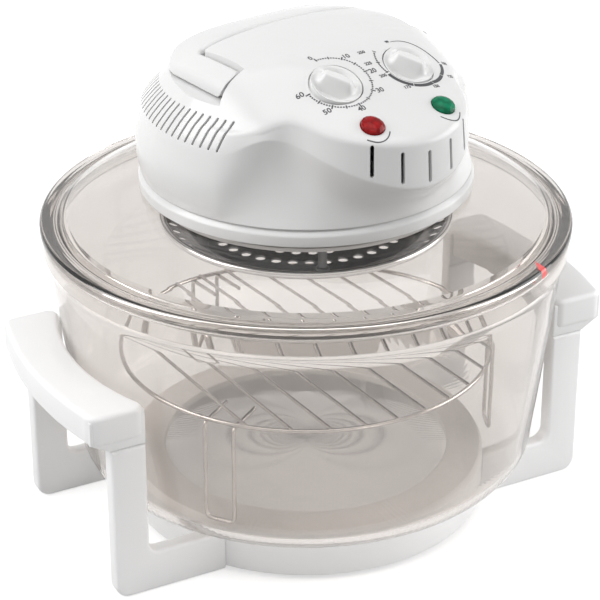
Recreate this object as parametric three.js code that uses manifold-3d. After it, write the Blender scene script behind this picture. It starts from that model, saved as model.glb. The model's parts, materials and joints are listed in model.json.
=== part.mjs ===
// Halogen oven: a glass bowl in a two-handled stand, a wire rack inside it, and a
// lift-off glass lid that carries the moulded head with its fan, heater and controls.
// Millimetres, +Z up. The stand's grips lie along X. The head looks towards -Y,
// turned a little about Z with its lid, as a lid that simply rests on a bowl is.
import * as THREE from 'three';
import { mergeVertices } from 'three/addons/utils/BufferGeometryUtils.js';
import Module from 'manifold-3d';

const wasm = await Module();
wasm.setup();

// Overall sizes
const lidRadius = 165;
const bowlLift = 33;
const bowlHeight = 157.7;
const lidFlangeThickness = 8;
const lidRise = 19.9;
const headRingHeight = 10.3;
const headHeight = 87;
const headRadius = 104;
const headTurn = 9;
const shellWall = 2.6;
const handleDepth = 22.3;
const fingerDepth = 15;

// Clearances: rest is the gap between pieces that sit on each other
const rest = 0.3;
const pivotPlay = 0.08;
const screwPlay = 0.3;
const sheet = 1.2;

// Derived heights of the main levels
const mouthZ = bowlLift + bowlHeight;
const flangeZ = mouthZ + rest;
const rimTopZ = flangeZ + lidFlangeThickness;
const headRingZ = rimTopZ + lidRise;
const headZ = headRingZ + headRingHeight + rest;
const headTopZ = headZ + headHeight;
const handleZ = headTopZ - handleDepth;

// Outline points closer together than this count as one
const smallestEdge = 0.001;

// Facets round a full circle
const bigRound = 32;
const midRound = 20;
const smallRound = 12;
const tinyRound = 8;
const wireSides = 6;
const outlineSteps = 3;

// Colours and finishes
const whitePlastic = { color: 0xf1f1ef, roughness: 0.32, metalness: 0 };
const standPlastic = { color: 0xeeeeee, roughness: 0.5, metalness: 0 };
const tintedGlass = { color: 0xb9a5a0, roughness: 0.05, metalness: 0, transparent: true, opacity: 0.35 };
const chrome = { color: 0xd6d4d2, roughness: 0.15, metalness: 1 };
const steel = { color: 0xb9bbbd, roughness: 0.35, metalness: 1 };
const darkMetal = { color: 0x565a5e, roughness: 0.4, metalness: 0.9 };
const silicone = { color: 0xd9d9d6, roughness: 0.8, metalness: 0 };
const blackPlastic = { color: 0x2a2a2c, roughness: 0.6, metalness: 0 };
const ceramic = { color: 0xe8e3d8, roughness: 0.7, metalness: 0 };
const lampGlass = { color: 0xe9dfd2, roughness: 0.2, metalness: 0 };
const redLens = { color: 0xb3121b, roughness: 0.15, metalness: 0 };
const greenLens = { color: 0x0c8a55, roughness: 0.15, metalness: 0 };

const radians = THREE.MathUtils.degToRad;

function smooth(value) {
  const t = THREE.MathUtils.clamp(value, 0, 1);
  return t * t * (3 - 2 * t);
}

// A closed geometry as a solid that can be joined and cut
function solid(geometry) {
  const bare = geometry.clone();
  bare.deleteAttribute('normal');
  bare.deleteAttribute('uv');
  const merged = mergeVertices(bare, 1e-4);
  const index = merged.index.array;
  const kept = [];
  for (let i = 0; i < index.length; i += 3) {
    const [a, b, c] = [index[i], index[i + 1], index[i + 2]];
    if (a !== b && b !== c && c !== a) kept.push(a, b, c);
  }
  const mesh = new wasm.Mesh({
    numProp: 3,
    vertProperties: new Float32Array(merged.attributes.position.array),
    triVerts: new Uint32Array(kept),
  });
  return new wasm.Manifold(mesh);
}

function geometryOf(body) {
  const mesh = body.getMesh();
  const geometry = new THREE.BufferGeometry();
  const positions = new Float32Array(mesh.vertProperties);
  geometry.setAttribute('position', new THREE.BufferAttribute(positions, 3));
  geometry.setIndex(new THREE.BufferAttribute(new Uint32Array(mesh.triVerts), 1));
  geometry.computeVertexNormals();
  return geometry;
}

function joined(bodies) {
  return bodies.reduce((whole, body) => whole.add(body));
}

// A profile of [radius, height] points turned about Z
function turned(profile, segments) {
  let area = 0;
  profile.forEach(([r, z], i) => {
    const [nextR, nextZ] = profile[(i + 1) % profile.length];
    area += r * nextZ - nextR * z;
  });
  const ordered = area < 0 ? [...profile].reverse() : profile;
  const closed = [...ordered, ordered[0]];
  const points = closed.map(([r, z]) => new THREE.Vector2(r, z));
  const geometry = new THREE.LatheGeometry(points, segments);
  return solid(geometry.rotateX(Math.PI / 2));
}

function tube(outer, inner, low, high, segments) {
  return turned([[inner, low], [outer, low], [outer, high], [inner, high]], segments);
}

// An upright cylinder from low to high
function post(radius, low, high, segments = smallRound) {
  const geometry = new THREE.CylinderGeometry(radius, radius, high - low, segments);
  geometry.rotateX(Math.PI / 2);
  geometry.translate(0, 0, (low + high) / 2);
  return solid(geometry);
}

// A hole that a round piece of this radius fits, flats included
function bore(radius, low, high, segments = smallRound) {
  return post(radius / Math.cos(Math.PI / segments), low, high, segments);
}

function box(low, high) {
  const size = high.map((value, i) => value - low[i]);
  const geometry = new THREE.BoxGeometry(...size);
  geometry.translate(...low.map((value, i) => value + size[i] / 2));
  return solid(geometry);
}

// A flat outline raised from low to high, with its edges rounded by bevel
function raised(shape, low, high, bevel = 0, bevelSteps = 1) {
  const points = shape.getPoints(outlineSteps);
  const apart = points.filter((point, i) => {
    const next = points[(i + 1) % points.length];
    return point.distanceTo(next) > smallestEdge;
  });
  const geometry = new THREE.ExtrudeGeometry(new THREE.Shape(apart), {
    depth: high - low - 2 * bevel,
    bevelEnabled: bevel > 0,
    bevelThickness: bevel,
    bevelSize: bevel,
    bevelOffset: -bevel,
    bevelSegments: bevelSteps,
  });
  geometry.translate(0, 0, low + bevel);
  return solid(geometry);
}

// A line through points, used as it stands: one step of a sweep per point
class PointLine extends THREE.Curve {
  constructor(points) {
    super();
    this.points = points;
  }

  getPointAt(share) {
    return this.points[Math.round(share * (this.points.length - 1))].clone();
  }

  getTangentAt(share) {
    const last = this.points.length - 1;
    const at = Math.round(share * last);
    const before = this.points[Math.max(at - 1, 0)];
    const here = this.points[at];
    const after = this.points[Math.min(at + 1, last)];
    const into = here.clone().sub(before).normalize();
    const away = after.clone().sub(here).normalize();
    return into.add(away).normalize();
  }
}

// A round bar swept through points
function swept(points, radius) {
  const section = new THREE.Shape();
  section.absarc(0, 0, radius, 0, 2 * Math.PI);
  const geometry = new THREE.ExtrudeGeometry(section, {
    extrudePath: new PointLine(points),
    steps: points.length - 1,
    bevelEnabled: false,
    curveSegments: wireSides / 2,
  });
  return solid(geometry);
}

// The same corners with each inner one rounded
function bent(corners, bend, steps = 1) {
  const points = [corners[0]];
  for (let i = 1; i < corners.length - 1; i += 1) {
    const corner = corners[i];
    const start = corner.clone().add(corners[i - 1].clone().sub(corner).setLength(bend));
    const end = corner.clone().add(corners[i + 1].clone().sub(corner).setLength(bend));
    const curve = new THREE.QuadraticBezierCurve3(start, corner, end);
    points.push(...curve.getPoints(steps));
  }
  points.push(corners[corners.length - 1]);
  return points;
}

function ringBar(radius, bar, z, segments) {
  const geometry = new THREE.TorusGeometry(radius, bar, wireSides, segments);
  geometry.translate(0, 0, z);
  return solid(geometry);
}

function spread(body, count, startAngle = 0) {
  const step = 360 / count;
  return Array.from({ length: count }, (_, i) => body.rotate([0, 0, startAngle + i * step]));
}

function piece(name, body, finish) {
  const material = new THREE.MeshStandardMaterial(finish);
  const mesh = new THREE.Mesh(geometryOf(body), material);
  mesh.name = name;
  return mesh;
}

// Bowl: straight flared wall, round corner, flat floor and a thick flange at the mouth
const lidOverhang = 1.5;
const bowlFlangeStep = 3;
const bowlFlangeHeight = 11;
const bowlFlare = 16.7;
const bowlCorner = 21;
const bowlGlass = 4.5;

const bowlFlangeRadius = lidRadius - lidOverhang;
const bowlNeckRadius = bowlFlangeRadius - bowlFlangeStep;
const bowlWaistRadius = bowlNeckRadius - bowlFlare;
const bowlCornerX = bowlWaistRadius - bowlCorner;
const bowlCornerZ = bowlLift + bowlCorner;
const bowlNeckZ = mouthZ - bowlFlangeHeight - bowlGlass;

function arcPoints(centreR, centreZ, radius, fromAngle, toAngle, steps) {
  return Array.from({ length: steps + 1 }, (_, i) => {
    const angle = radians(fromAngle + ((toAngle - fromAngle) * i) / steps);
    return [centreR + radius * Math.cos(angle), centreZ + radius * Math.sin(angle)];
  });
}

function makeBowl() {
  const edge = bowlGlass / 3;
  const outside = [
    [0, bowlLift],
    ...arcPoints(bowlCornerX, bowlCornerZ, bowlCorner, -90, 0, outlineSteps),
    [bowlNeckRadius, bowlNeckZ],
    [bowlFlangeRadius - edge, bowlNeckZ + bowlGlass - edge],
    [bowlFlangeRadius, bowlNeckZ + bowlGlass],
    [bowlFlangeRadius, mouthZ - edge],
    [bowlFlangeRadius - edge, mouthZ],
  ];
  const inside = [
    [bowlNeckRadius - bowlGlass, mouthZ],
    [bowlNeckRadius - bowlGlass, bowlNeckZ],
    ...arcPoints(bowlCornerX, bowlCornerZ, bowlCorner - bowlGlass, 0, -90, outlineSteps),
    [0, bowlLift + bowlGlass],
  ];
  return piece('glass_bowl', turned([...outside, ...inside], bigRound), tintedGlass);
}

// Rack: a wire ring, straight wires across it and three looped legs
const rackPlay = 21.3;
const rackWire = 1.7;
const rackCrossWire = 1.3;
const rackPitch = 20;
const rackTurn = 4.5;
const rackHeight = 69.5;
const rackLegWidth = 19;
const rackLegTail = 26;
const rackLegBend = 4;
const rackLegCount = 3;
const rackLegAngle = 7;

const rackRingRadius = bowlWaistRadius - bowlGlass - rackPlay;
const rackWireCount = Math.floor((2 * rackRingRadius) / rackPitch) - 1;
const rackFloorZ = bowlLift + bowlGlass + rest;
const rackZ = rackFloorZ + rackHeight;

function makeRack() {
  const ring = ringBar(rackRingRadius, rackWire, rackZ, bigRound);
  const wires = [];
  for (let i = 0; i < rackWireCount; i += 1) {
    const x = (i - (rackWireCount - 1) / 2) * rackPitch;
    const half = Math.sqrt(rackRingRadius ** 2 - x ** 2);
    const wire = new THREE.CylinderGeometry(rackCrossWire, rackCrossWire, 2 * half, wireSides);
    wire.translate(x, 0, rackZ + rackWire / 2);
    wires.push(solid(wire).rotate([0, 0, rackTurn]));
  }
  const half = rackLegWidth / 2;
  const low = rackFloorZ + rackWire;
  const top = rackZ - rackWire;
  const reach = rackRingRadius + rackWire;
  const inner = reach - rackLegTail;
  const corners = [
    [inner, -half, top], [reach, -half, top], [reach, -half, low],
    [reach, half, low], [reach, half, top], [inner, half, top],
  ].map((point) => new THREE.Vector3(...point));
  const leg = swept(bent(corners, rackLegBend), rackWire);
  const legs = spread(leg, rackLegCount, rackLegAngle + 90);
  return piece('rack', joined([ring, ...wires, ...legs]), chrome);
}

// Stand: a seat ring, four leg frames that plug into it and two curved grips
const seatSetback = 6.8;
const seatWall = 4;
const seatLift = 2.6;
const seatPlate = 5.4;
const seatPlateWidth = 24;
const armHeight = 27;
const armThickness = 10.8;
const armOutside = 70.3;
const armTongue = 17;
const legSetout = 8.5;
const legWidth = 22.5;
const legHeight = 103.6;
const legCorner = 9;
const legFillet = 7;
const edgeRound = 1.4;
const gripSetback = 4;
const gripSetout = 21;
const gripOuterRadius = 270;
const gripEndLap = 1.3;
const gripRise = 25.8;
const gripThickness = 20;
const gripRound = 3.4;
const gripCorner = 9;
const tenonHeight = 9;
const tenonShare = 0.55;
const tongueShare = 0.6;
const legScrewRadius = 1.8;
const legScrewHead = 3;
const legScrewShare = 0.6;

const seatRadius = bowlCornerX - seatSetback;
const seatInnerRadius = seatRadius - seatPlateWidth;
const gripInnerRadius = bowlNeckRadius - gripSetback;
const legOutside = gripInnerRadius + legSetout;
const gripOuterX = legOutside + gripSetout;
const gripHalfLength = armOutside + gripEndLap;
const gripTop = legHeight + gripRise;
const seatTopZ = bowlLift - rest;
const armMidY = armOutside - armThickness / 2;
const armRootX = Math.sqrt(seatRadius ** 2 - armMidY ** 2);
const tongueEndX = armRootX - armTongue;
const tongueTopZ = seatTopZ - seatPlate - rest;
const tongueHalf = (armThickness * tongueShare) / 2;
const legScrewX = armRootX - armTongue * legScrewShare;
const standSides = [-1, 1];

function makeSeatRing() {
  const lip = seatWall / 2;
  const body = turned([
    [seatInnerRadius, seatTopZ - seatPlate],
    [seatRadius - seatWall, seatTopZ - seatPlate],
    [seatRadius - seatWall, seatLift],
    [seatRadius, seatLift],
    [seatRadius, seatTopZ - seatPlate],
    [seatRadius - lip, seatTopZ],
    [seatInnerRadius, seatTopZ],
  ], bigRound);
  const cuts = [];
  for (const sideX of standSides) {
    for (const sideY of standSides) {
      const low = armMidY - tongueHalf - rest;
      const high = armMidY + tongueHalf + rest;
      const notch = box([tongueEndX, low, 0], [seatRadius + armTongue, high, tongueTopZ + rest]);
      const hole = bore(legScrewRadius + screwPlay, tongueTopZ, seatTopZ - edgeRound, tinyRound);
      const pair = notch.add(hole.translate([legScrewX, armMidY, 0]));
      cuts.push(pair.scale([sideX, sideY, 1]));
    }
  }
  return piece('seat_ring', body.subtract(joined(cuts)), standPlastic);
}

// One arm and leg as seen from the side, in X and Z
function legOutline() {
  const shape = new THREE.Shape();
  const innerX = legOutside - legWidth;
  shape.moveTo(armRootX - armThickness, 0);
  shape.lineTo(legOutside - legCorner, 0);
  shape.absarc(legOutside - legCorner, legCorner, legCorner, -Math.PI / 2, 0);
  shape.lineTo(legOutside, legHeight);
  shape.lineTo(innerX, legHeight);
  shape.lineTo(innerX, armHeight + legFillet);
  shape.absarc(innerX - legFillet, armHeight + legFillet, legFillet, 0, -Math.PI / 2, true);
  shape.lineTo(armRootX - armThickness, armHeight);
  shape.closePath();
  return shape;
}

function tenonBody(play) {
  const width = legWidth * tenonShare + 2 * play;
  const depth = armThickness * tenonShare + 2 * play;
  const x = legOutside - legWidth / 2;
  return box(
    [x - width / 2, armMidY - depth / 2, legHeight - tenonHeight],
    [x + width / 2, armMidY + depth / 2, legHeight + tenonHeight + play],
  );
}

function legBody() {
  const flat = raised(legOutline(), 0, armThickness, edgeRound);
  const upright = flat.rotate([90, 0, 0]).translate([0, armMidY + armThickness / 2, 0]);
  const around = post(seatRadius + rest, -rest, armHeight + rest, bigRound);
  const tongue = box(
    [tongueEndX, armMidY - tongueHalf, seatLift + rest],
    [armRootX + armThickness, armMidY + tongueHalf, tongueTopZ],
  );
  const shank = bore(legScrewRadius + screwPlay, 0, armHeight + rest, tinyRound);
  const seat = bore(legScrewHead + screwPlay, 0, seatLift + legScrewHead, tinyRound);
  const hole = shank.add(seat).translate([legScrewX, armMidY, 0]);
  return upright.subtract(around).add(tongue).add(tenonBody(0)).subtract(hole);
}

function makeLegs() {
  const leg = legBody();
  const lowZ = seatLift + legScrewHead - rest;
  const shank = post(legScrewRadius, lowZ - legScrewHead / 2, seatTopZ - edgeRound - rest, tinyRound);
  const head = post(legScrewHead, seatLift + rest, lowZ, tinyRound);
  const screw = shank.add(head).translate([legScrewX, armMidY, 0]);
  const meshes = [];
  for (const sideX of standSides) {
    for (const sideY of standSides) {
      const where = `${sideY < 0 ? 'front' : 'back'}_${sideX < 0 ? 'left' : 'right'}`;
      meshes.push(piece(`leg_${where}`, leg.scale([sideX, sideY, 1]), standPlastic));
      meshes.push(piece(`leg_screw_${where}`, screw.scale([sideX, sideY, 1]), steel));
    }
  }
  return meshes;
}

function gripBody() {
  const outerCentre = gripOuterX - gripOuterRadius;
  const innerEnd = Math.asin((gripHalfLength - gripCorner) / gripInnerRadius);
  const outerEnd = Math.asin((gripHalfLength - gripCorner) / gripOuterRadius);
  const outerEndX = outerCentre + gripOuterRadius * Math.cos(outerEnd);
  const innerEndX = gripInnerRadius * Math.cos(innerEnd);
  const innerCornerX = innerEndX - gripCorner / 3;
  const shape = new THREE.Shape();
  shape.absarc(0, 0, gripInnerRadius, innerEnd, -innerEnd, true);
  shape.quadraticCurveTo(innerCornerX, -gripHalfLength, innerEndX + gripCorner, -gripHalfLength);
  shape.lineTo(outerEndX - gripCorner, -gripHalfLength);
  shape.quadraticCurveTo(outerEndX, -gripHalfLength, outerEndX, gripCorner - gripHalfLength);
  shape.absarc(outerCentre, 0, gripOuterRadius, -outerEnd, outerEnd);
  shape.quadraticCurveTo(outerEndX, gripHalfLength, outerEndX - gripCorner, gripHalfLength);
  shape.lineTo(innerEndX + gripCorner, gripHalfLength);
  shape.quadraticCurveTo(innerCornerX, gripHalfLength, innerEndX, gripHalfLength - gripCorner);
  shape.closePath();
  const bar = raised(shape, gripTop - gripThickness, gripTop, gripRound, 2);
  const padOutline = new THREE.Shape([
    new THREE.Vector2(legOutside - legWidth, legHeight + rest),
    new THREE.Vector2(legOutside, legHeight + rest),
    new THREE.Vector2(outerEndX - gripRound, gripTop - gripThickness + sheet),
    new THREE.Vector2(outerEndX - gripRound, gripTop - gripRound),
    new THREE.Vector2(legOutside - legWidth, gripTop - gripRound),
  ]);
  const pad = raised(padOutline, armOutside - armThickness, gripHalfLength - gripRound / 2)
    .rotate([90, 0, 0])
    .scale([1, -1, 1]);
  const socket = tenonBody(rest);
  const end = pad.subtract(socket);
  const otherEnd = end.scale([1, -1, 1]);
  const cuts = socket.add(socket.scale([1, -1, 1]));
  return joined([bar, end, otherEnd]).subtract(cuts);
}

function makeGrips() {
  const grip = gripBody();
  return standSides.map((side) => {
    const name = side < 0 ? 'grip_left' : 'grip_right';
    return piece(name, grip.scale([side, 1, 1]), standPlastic);
  });
}

// Lid glass: a shallow dome with a locating skirt inside the bowl's mouth
const lidGlass = 4;
const lidSkirt = 4;
const lidSkirtGap = 2.4;
const lidDomeShares = [0, 0.4, 0.75, 1];
const lidDomeSag = 0.55;
const headRingInset = 0.8;
const ringLap = 17.2;
const glassBelowRing = 0.6;

const headRingRadius = headRadius - headRingInset;
const lidHoleRadius = headRingRadius - ringLap;
const lidDomeRadius = bowlNeckRadius - bowlGlass - lidSkirtGap;

function lidDomeZ(radius) {
  const t = (radius - lidHoleRadius) / (lidDomeRadius - lidHoleRadius);
  return headRingZ - glassBelowRing - (headRingZ - rimTopZ) * (lidDomeSag * t * t + (1 - lidDomeSag) * t * t * t);
}

function makeLidGlass() {
  const edge = lidGlass / 2;
  const span = lidDomeRadius - lidHoleRadius;
  const top = lidDomeShares.map((share) => {
    const r = lidHoleRadius + share * span;
    return [r, lidDomeZ(r)];
  });
  const under = [...lidDomeShares].reverse().map((share) => {
    const r = lidHoleRadius + share * (span - lidGlass);
    return [r, lidDomeZ(r) - lidGlass];
  });
  const profile = [
    ...top,
    [lidDomeRadius + edge, rimTopZ - edge],
    [lidDomeRadius + lidGlass, rimTopZ - edge / 2],
    [lidRadius - edge, rimTopZ - edge / 2],
    [lidRadius, rimTopZ - lidGlass],
    [lidRadius, flangeZ + edge],
    [lidRadius - edge, flangeZ],
    [lidDomeRadius + edge, flangeZ],
    [lidDomeRadius, flangeZ - lidSkirt],
    [lidDomeRadius - lidGlass, flangeZ - lidSkirt],
    ...under,
  ];
  return piece('lid_glass', turned(profile, bigRound), tintedGlass);
}

// Head ring, clamp ring and seal: what grips the glass round its hole
const spigotGap = 2;
const spigotWall = 6;
const clampLap = 9;
const clampThickness = 2.4;
const ringWall = 6.6;
const ringLedge = 3.4;
const boltRadius = 1.6;
const boltHeadRadius = 3;
const boltHeadHeight = 1.8;
const boltCount = 3;
const boltAngle = 30;

const spigotRadius = lidHoleRadius - spigotGap;
const clampInnerRadius = spigotRadius - spigotWall;
const clampOuterRadius = lidHoleRadius + clampLap;
const ringInnerRadius = headRingRadius - ringWall;
const glassUnderZ = lidDomeZ(lidHoleRadius) - lidGlass;
const clampTopZ = glassUnderZ - rest - sheet;
const clampZ = clampTopZ - clampThickness;
const ledgeZ = headRingZ + ringLedge;
const basePlateTopZ = ledgeZ + rest + sheet;

function makeHeadRing() {
  const slope = ringLedge;
  const body = turned([
    [spigotRadius - spigotWall, clampTopZ + rest],
    [spigotRadius, clampTopZ + rest],
    [spigotRadius, headRingZ],
    [headRingRadius, headRingZ],
    [headRingRadius, headRingZ + headRingHeight - slope],
    [headRingRadius - slope, headRingZ + headRingHeight],
    [ringInnerRadius, headRingZ + headRingHeight],
    [ringInnerRadius, ledgeZ],
    [spigotRadius - spigotWall, ledgeZ],
  ], bigRound);
  const hole = bore(boltRadius + screwPlay, clampZ, ledgeZ - rest, tinyRound);
  const holes = spread(hole.translate([spigotRadius - spigotWall / 2, 0, 0]), boltCount, boltAngle);
  const seatTop = headRingZ + boltHeadHeight + 2 * rest;
  const seat = bore(boltHeadRadius + screwPlay, headRingZ - rest, seatTop, tinyRound);
  const through = bore(boltRadius + screwPlay, headRingZ, ledgeZ + rest, tinyRound).add(seat);
  const shellHoles = spread(through.translate([bossRadius, 0, 0]), bossCount, bossAngle);
  return piece('head_ring', body.subtract(joined([...holes, ...shellHoles])), whitePlastic);
}

function makeClampRing() {
  const body = tube(clampOuterRadius, clampInnerRadius, clampZ, clampTopZ, midRound);
  const hole = bore(boltRadius + screwPlay, clampZ - rest, clampTopZ + rest, tinyRound);
  const holes = spread(hole.translate([spigotRadius - spigotWall / 2, 0, 0]), boltCount, boltAngle);
  return piece('clamp_ring', body.subtract(joined(holes)), steel);
}

function makeSeal() {
  const low = clampTopZ + rest / 2;
  const high = headRingZ - rest / 2;
  const profile = [
    [spigotRadius + rest, low],
    [clampOuterRadius - sheet, low],
    [clampOuterRadius - sheet, lidDomeZ(clampOuterRadius) - lidGlass - 2 * rest],
    [lidHoleRadius - rest, glassUnderZ - rest],
    [lidHoleRadius - rest, high],
    [spigotRadius + rest, high],
  ];
  return piece('seal', turned(profile, bigRound), silicone);
}

function makeClampBolts() {
  const head = post(boltHeadRadius, clampZ - rest - boltHeadHeight, clampZ - rest, tinyRound);
  const shank = post(boltRadius, clampZ - rest - boltHeadHeight / 2, ledgeZ - 2 * rest, tinyRound);
  const bolt = head.add(shank).translate([spigotRadius - spigotWall / 2, 0, 0]);
  return spread(bolt, boltCount, boltAngle).map((body, i) => piece(`clamp_bolt_${i + 1}`, body, steel));
}

// Heater: reflector, lamp ring, fan and perforated guard under the lid
const shaftRadius = 3;
const reflectorInset = 4;
const reflectorDrop = 3.6;
const lampInset = 7;
const lampTube = 4.6;
const lampDrop = 10.5;
const lampGap = 14;
const lampGapShare = 1.6;
const holderSize = [15, 12, 9];
const guardLip = 7;
const guardSlope = 15.5;
const guardDrop = 29.9;
const guardRise = 6;
const guardHole = 2.9;
const guardRowShares = [0.54, 0.69, 0.918];
const guardRowCounts = [8, 10, 16];
const guardPostRadius = 2.6;
const guardPostInset = 0.5;
const guardPostCount = 3;
const guardPostAngle = 0;
const fanInset = 23;
const fanBlade = 7.5;
const fanBladeCount = 6;
const fanHub = 8;
const shaftNut = 5;

const reflectorRadius = clampInnerRadius - reflectorInset;
const lampRingRadius = reflectorRadius - lampInset;
const fanRadius = lampRingRadius - fanInset;
const guardPostAt = spigotRadius - guardPostInset;
const guardRadius = guardPostAt + guardLip;
const guardPanRadius = guardRadius - guardSlope;
const guardPanZ = headRingZ - guardDrop;
const reflectorZ = clampZ - reflectorDrop;
const lampZ = reflectorZ - lampDrop;
const lampTopZ = reflectorZ + sheet + holderSize[2] / 2;
const fanZ = reflectorZ - rest - fanBlade - sheet;

function makeReflector() {
  const rim = clampInnerRadius + sheet;
  const body = turned([
    [shaftRadius + sheet, reflectorZ],
    [reflectorRadius, reflectorZ],
    [rim + sheet, clampZ - rest - sheet],
    [guardPostAt + 2 * guardPostRadius, clampZ - rest - sheet],
    [guardPostAt + 2 * guardPostRadius, clampZ - rest],
    [rim, clampZ - rest],
    [reflectorRadius - sheet, reflectorZ + sheet],
    [shaftRadius + sheet, reflectorZ + sheet],
  ], midRound);
  const cuts = [];
  const bolt = bore(boltHeadRadius + screwPlay, reflectorZ, clampZ, tinyRound);
  cuts.push(...spread(bolt.translate([spigotRadius - spigotWall / 2, 0, 0]), boltCount, boltAngle));
  for (const side of standSides) {
    const hole = bore(lampTube + rest, reflectorZ - rest, clampZ);
    cuts.push(hole.translate([side * lampGap, lampRingRadius - lampTube, 0]));
  }
  return piece('reflector', body.subtract(joined(cuts)), steel);
}

function makeLamp() {
  const ends = lampRingRadius - lampTube;
  const gap = Math.asin(lampGap / lampRingRadius) * lampGapShare;
  const steps = midRound;
  const ring = Array.from({ length: steps + 1 }, (_, i) => {
    const angle = Math.PI / 2 - gap - ((2 * Math.PI - 2 * gap) * i) / steps;
    const x = lampRingRadius * Math.cos(angle);
    return new THREE.Vector3(x, lampRingRadius * Math.sin(angle), lampZ);
  });
  const legFoot = lampZ + lampTube * lampGapShare;
  const points = [
    new THREE.Vector3(lampGap, ends, lampTopZ),
    new THREE.Vector3(lampGap, ends, legFoot),
    ...ring,
    new THREE.Vector3(-lampGap, ends, legFoot),
    new THREE.Vector3(-lampGap, ends, lampTopZ),
  ];
  return piece('halogen_lamp', swept(points, lampTube), lampGlass);
}

function makeLampHolders() {
  const [width, depth, height] = holderSize;
  const low = reflectorZ + sheet + rest;
  const block = box([-width / 2, -depth / 2, low], [width / 2, depth / 2, low + height]);
  const socket = bore(lampTube + rest, low - sheet, lampTopZ + rest);
  const holder = block.subtract(socket).translate([0, lampRingRadius - lampTube, 0]);
  return standSides.map((side) => {
    const name = side < 0 ? 'lamp_holder_left' : 'lamp_holder_right';
    return piece(name, holder.translate([side * lampGap, 0, 0]), ceramic);
  });
}

function makeGuard() {
  const half = sheet / 2;
  const pan = guardPanRadius;
  const plate = turned([
    [0, guardPanZ],
    [pan, guardPanZ],
    [guardRadius - sheet, guardPanZ + guardRise - sheet],
    [guardRadius, guardPanZ + guardRise],
    [guardRadius - half, guardPanZ + guardRise + sheet],
    [guardRadius - 2 * sheet, guardPanZ + guardRise],
    [pan - half, guardPanZ + sheet],
    [0, guardPanZ + sheet],
  ], bigRound);
  const hole = post(guardHole, guardPanZ - guardRise, guardPanZ + 2 * guardRise, wireSides);
  const cuts = guardRowShares.flatMap((share, i) => {
    const count = guardRowCounts[i];
    return spread(hole.translate([share * guardRadius, 0, 0]), count, 180 / count);
  });
  return piece('guard_dish', plate.subtract(joined(cuts)), chrome);
}

function guardSlopeZ(radius) {
  return guardPanZ + (guardRise * (radius - guardPanRadius)) / (guardRadius - guardPanRadius);
}

function makeGuardPosts() {
  const low = guardSlopeZ(guardPostAt + guardPostRadius) + sheet + rest;
  const high = clampZ - 2 * rest - sheet;
  const body = post(guardPostRadius, low, high, smallRound).translate([guardPostAt, 0, 0]);
  const posts = spread(body, guardPostCount, guardPostAngle);
  return posts.map((part, i) => piece(`guard_post_${i + 1}`, part, darkMetal));
}

// Motor with its fans: the cooling fan is above the base plate, the hot-air fan below
const fanSideGap = 8;
const coolingBlade = 9;
const bladeGap = 3;
const motorRadius = 29;
const motorTopGap = 4.8;
const shaftInMotorShare = 0.7;
const bracketInset = 36.6;
const bracketWidth = 18;
const bracketFoot = 9;

const bracketRadius = ringInnerRadius - bracketInset;
const coolingFanRadius = bracketRadius - fanSideGap;
const shaftBottomZ = fanZ - shaftNut;
const coolingZ = basePlateTopZ + bladeGap;
const motorZ = coolingZ + coolingBlade + 3 * bladeGap;
const motorHeight = handleZ - fingerDepth - shellWall - motorTopGap - motorZ;
const bracketTopZ = motorZ - rest;
const shaftTopZ = motorZ + motorHeight * shaftInMotorShare;

function fanBody(radius, height, hubRadius, z, count) {
  const disc = post(radius, z, z + sheet, midRound);
  const hub = post(hubRadius, z, z + height);
  const blade = box([hubRadius - sheet, -sheet / 2, z], [radius, sheet / 2, z + height]);
  return joined([disc, hub, ...spread(blade, count)]).subtract(shaftBore());
}

function shaftBore() {
  return bore(shaftRadius + pivotPlay, 0, shaftTopZ + rest);
}

function makeRotor() {
  const shaft = post(shaftRadius, shaftBottomZ, shaftTopZ);
  const hot = fanBody(fanRadius, fanBlade, fanHub, fanZ, fanBladeCount);
  const cool = fanBody(coolingFanRadius, coolingBlade, fanHub, coolingZ, fanBladeCount);
  const nut = post(shaftNut, fanZ - shaftNut, fanZ - rest, wireSides).subtract(shaftBore());
  return [
    piece('fan_shaft', shaft, steel),
    piece('hot_air_fan', hot, darkMetal),
    piece('cooling_fan', cool, steel),
    piece('fan_nut', nut, steel),
  ];
}

function makeMotor() {
  const body = post(motorRadius, motorZ, motorZ + motorHeight, midRound);
  return piece('motor', body.subtract(shaftBore()), darkMetal);
}

function makeMotorBracket() {
  const half = bracketWidth / 2;
  const top = box([-bracketRadius, -half, bracketTopZ - sheet], [bracketRadius, half, bracketTopZ]);
  const parts = [top];
  for (const side of standSides) {
    const wall = box([bracketRadius - sheet, -half, basePlateTopZ + rest], [bracketRadius, half, bracketTopZ]);
    const foot = box(
      [bracketRadius - sheet, -half, basePlateTopZ + rest],
      [bracketRadius + bracketFoot, half, basePlateTopZ + rest + sheet],
    );
    parts.push(wall.add(foot).scale([side, 1, 1]));
  }
  const hole = bore(shaftRadius + 2 * sheet, bracketTopZ - 2 * sheet, bracketTopZ + sheet);
  return piece('motor_bracket', joined(parts).subtract(hole), steel);
}

function makeBasePlate() {
  const low = ledgeZ + rest;
  const plate = post(ringInnerRadius - 2 * rest, low, basePlateTopZ, midRound);
  const middle = bore(shaftRadius + 2 * sheet, low - sheet, basePlateTopZ + sheet);
  const hole = bore(boltRadius + screwPlay, low - sheet, basePlateTopZ + sheet, tinyRound);
  const lead = bore(lampTube, low - sheet, basePlateTopZ + sheet, tinyRound);
  const cuts = [middle, ...spread(hole.translate([bossRadius, 0, 0]), bossCount, bossAngle)];
  for (const side of standSides) {
    cuts.push(lead.translate([side * lampGap, lampRingRadius - lampTube, 0]));
  }
  return piece('base_plate', plate.subtract(joined(cuts)), steel);
}

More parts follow.
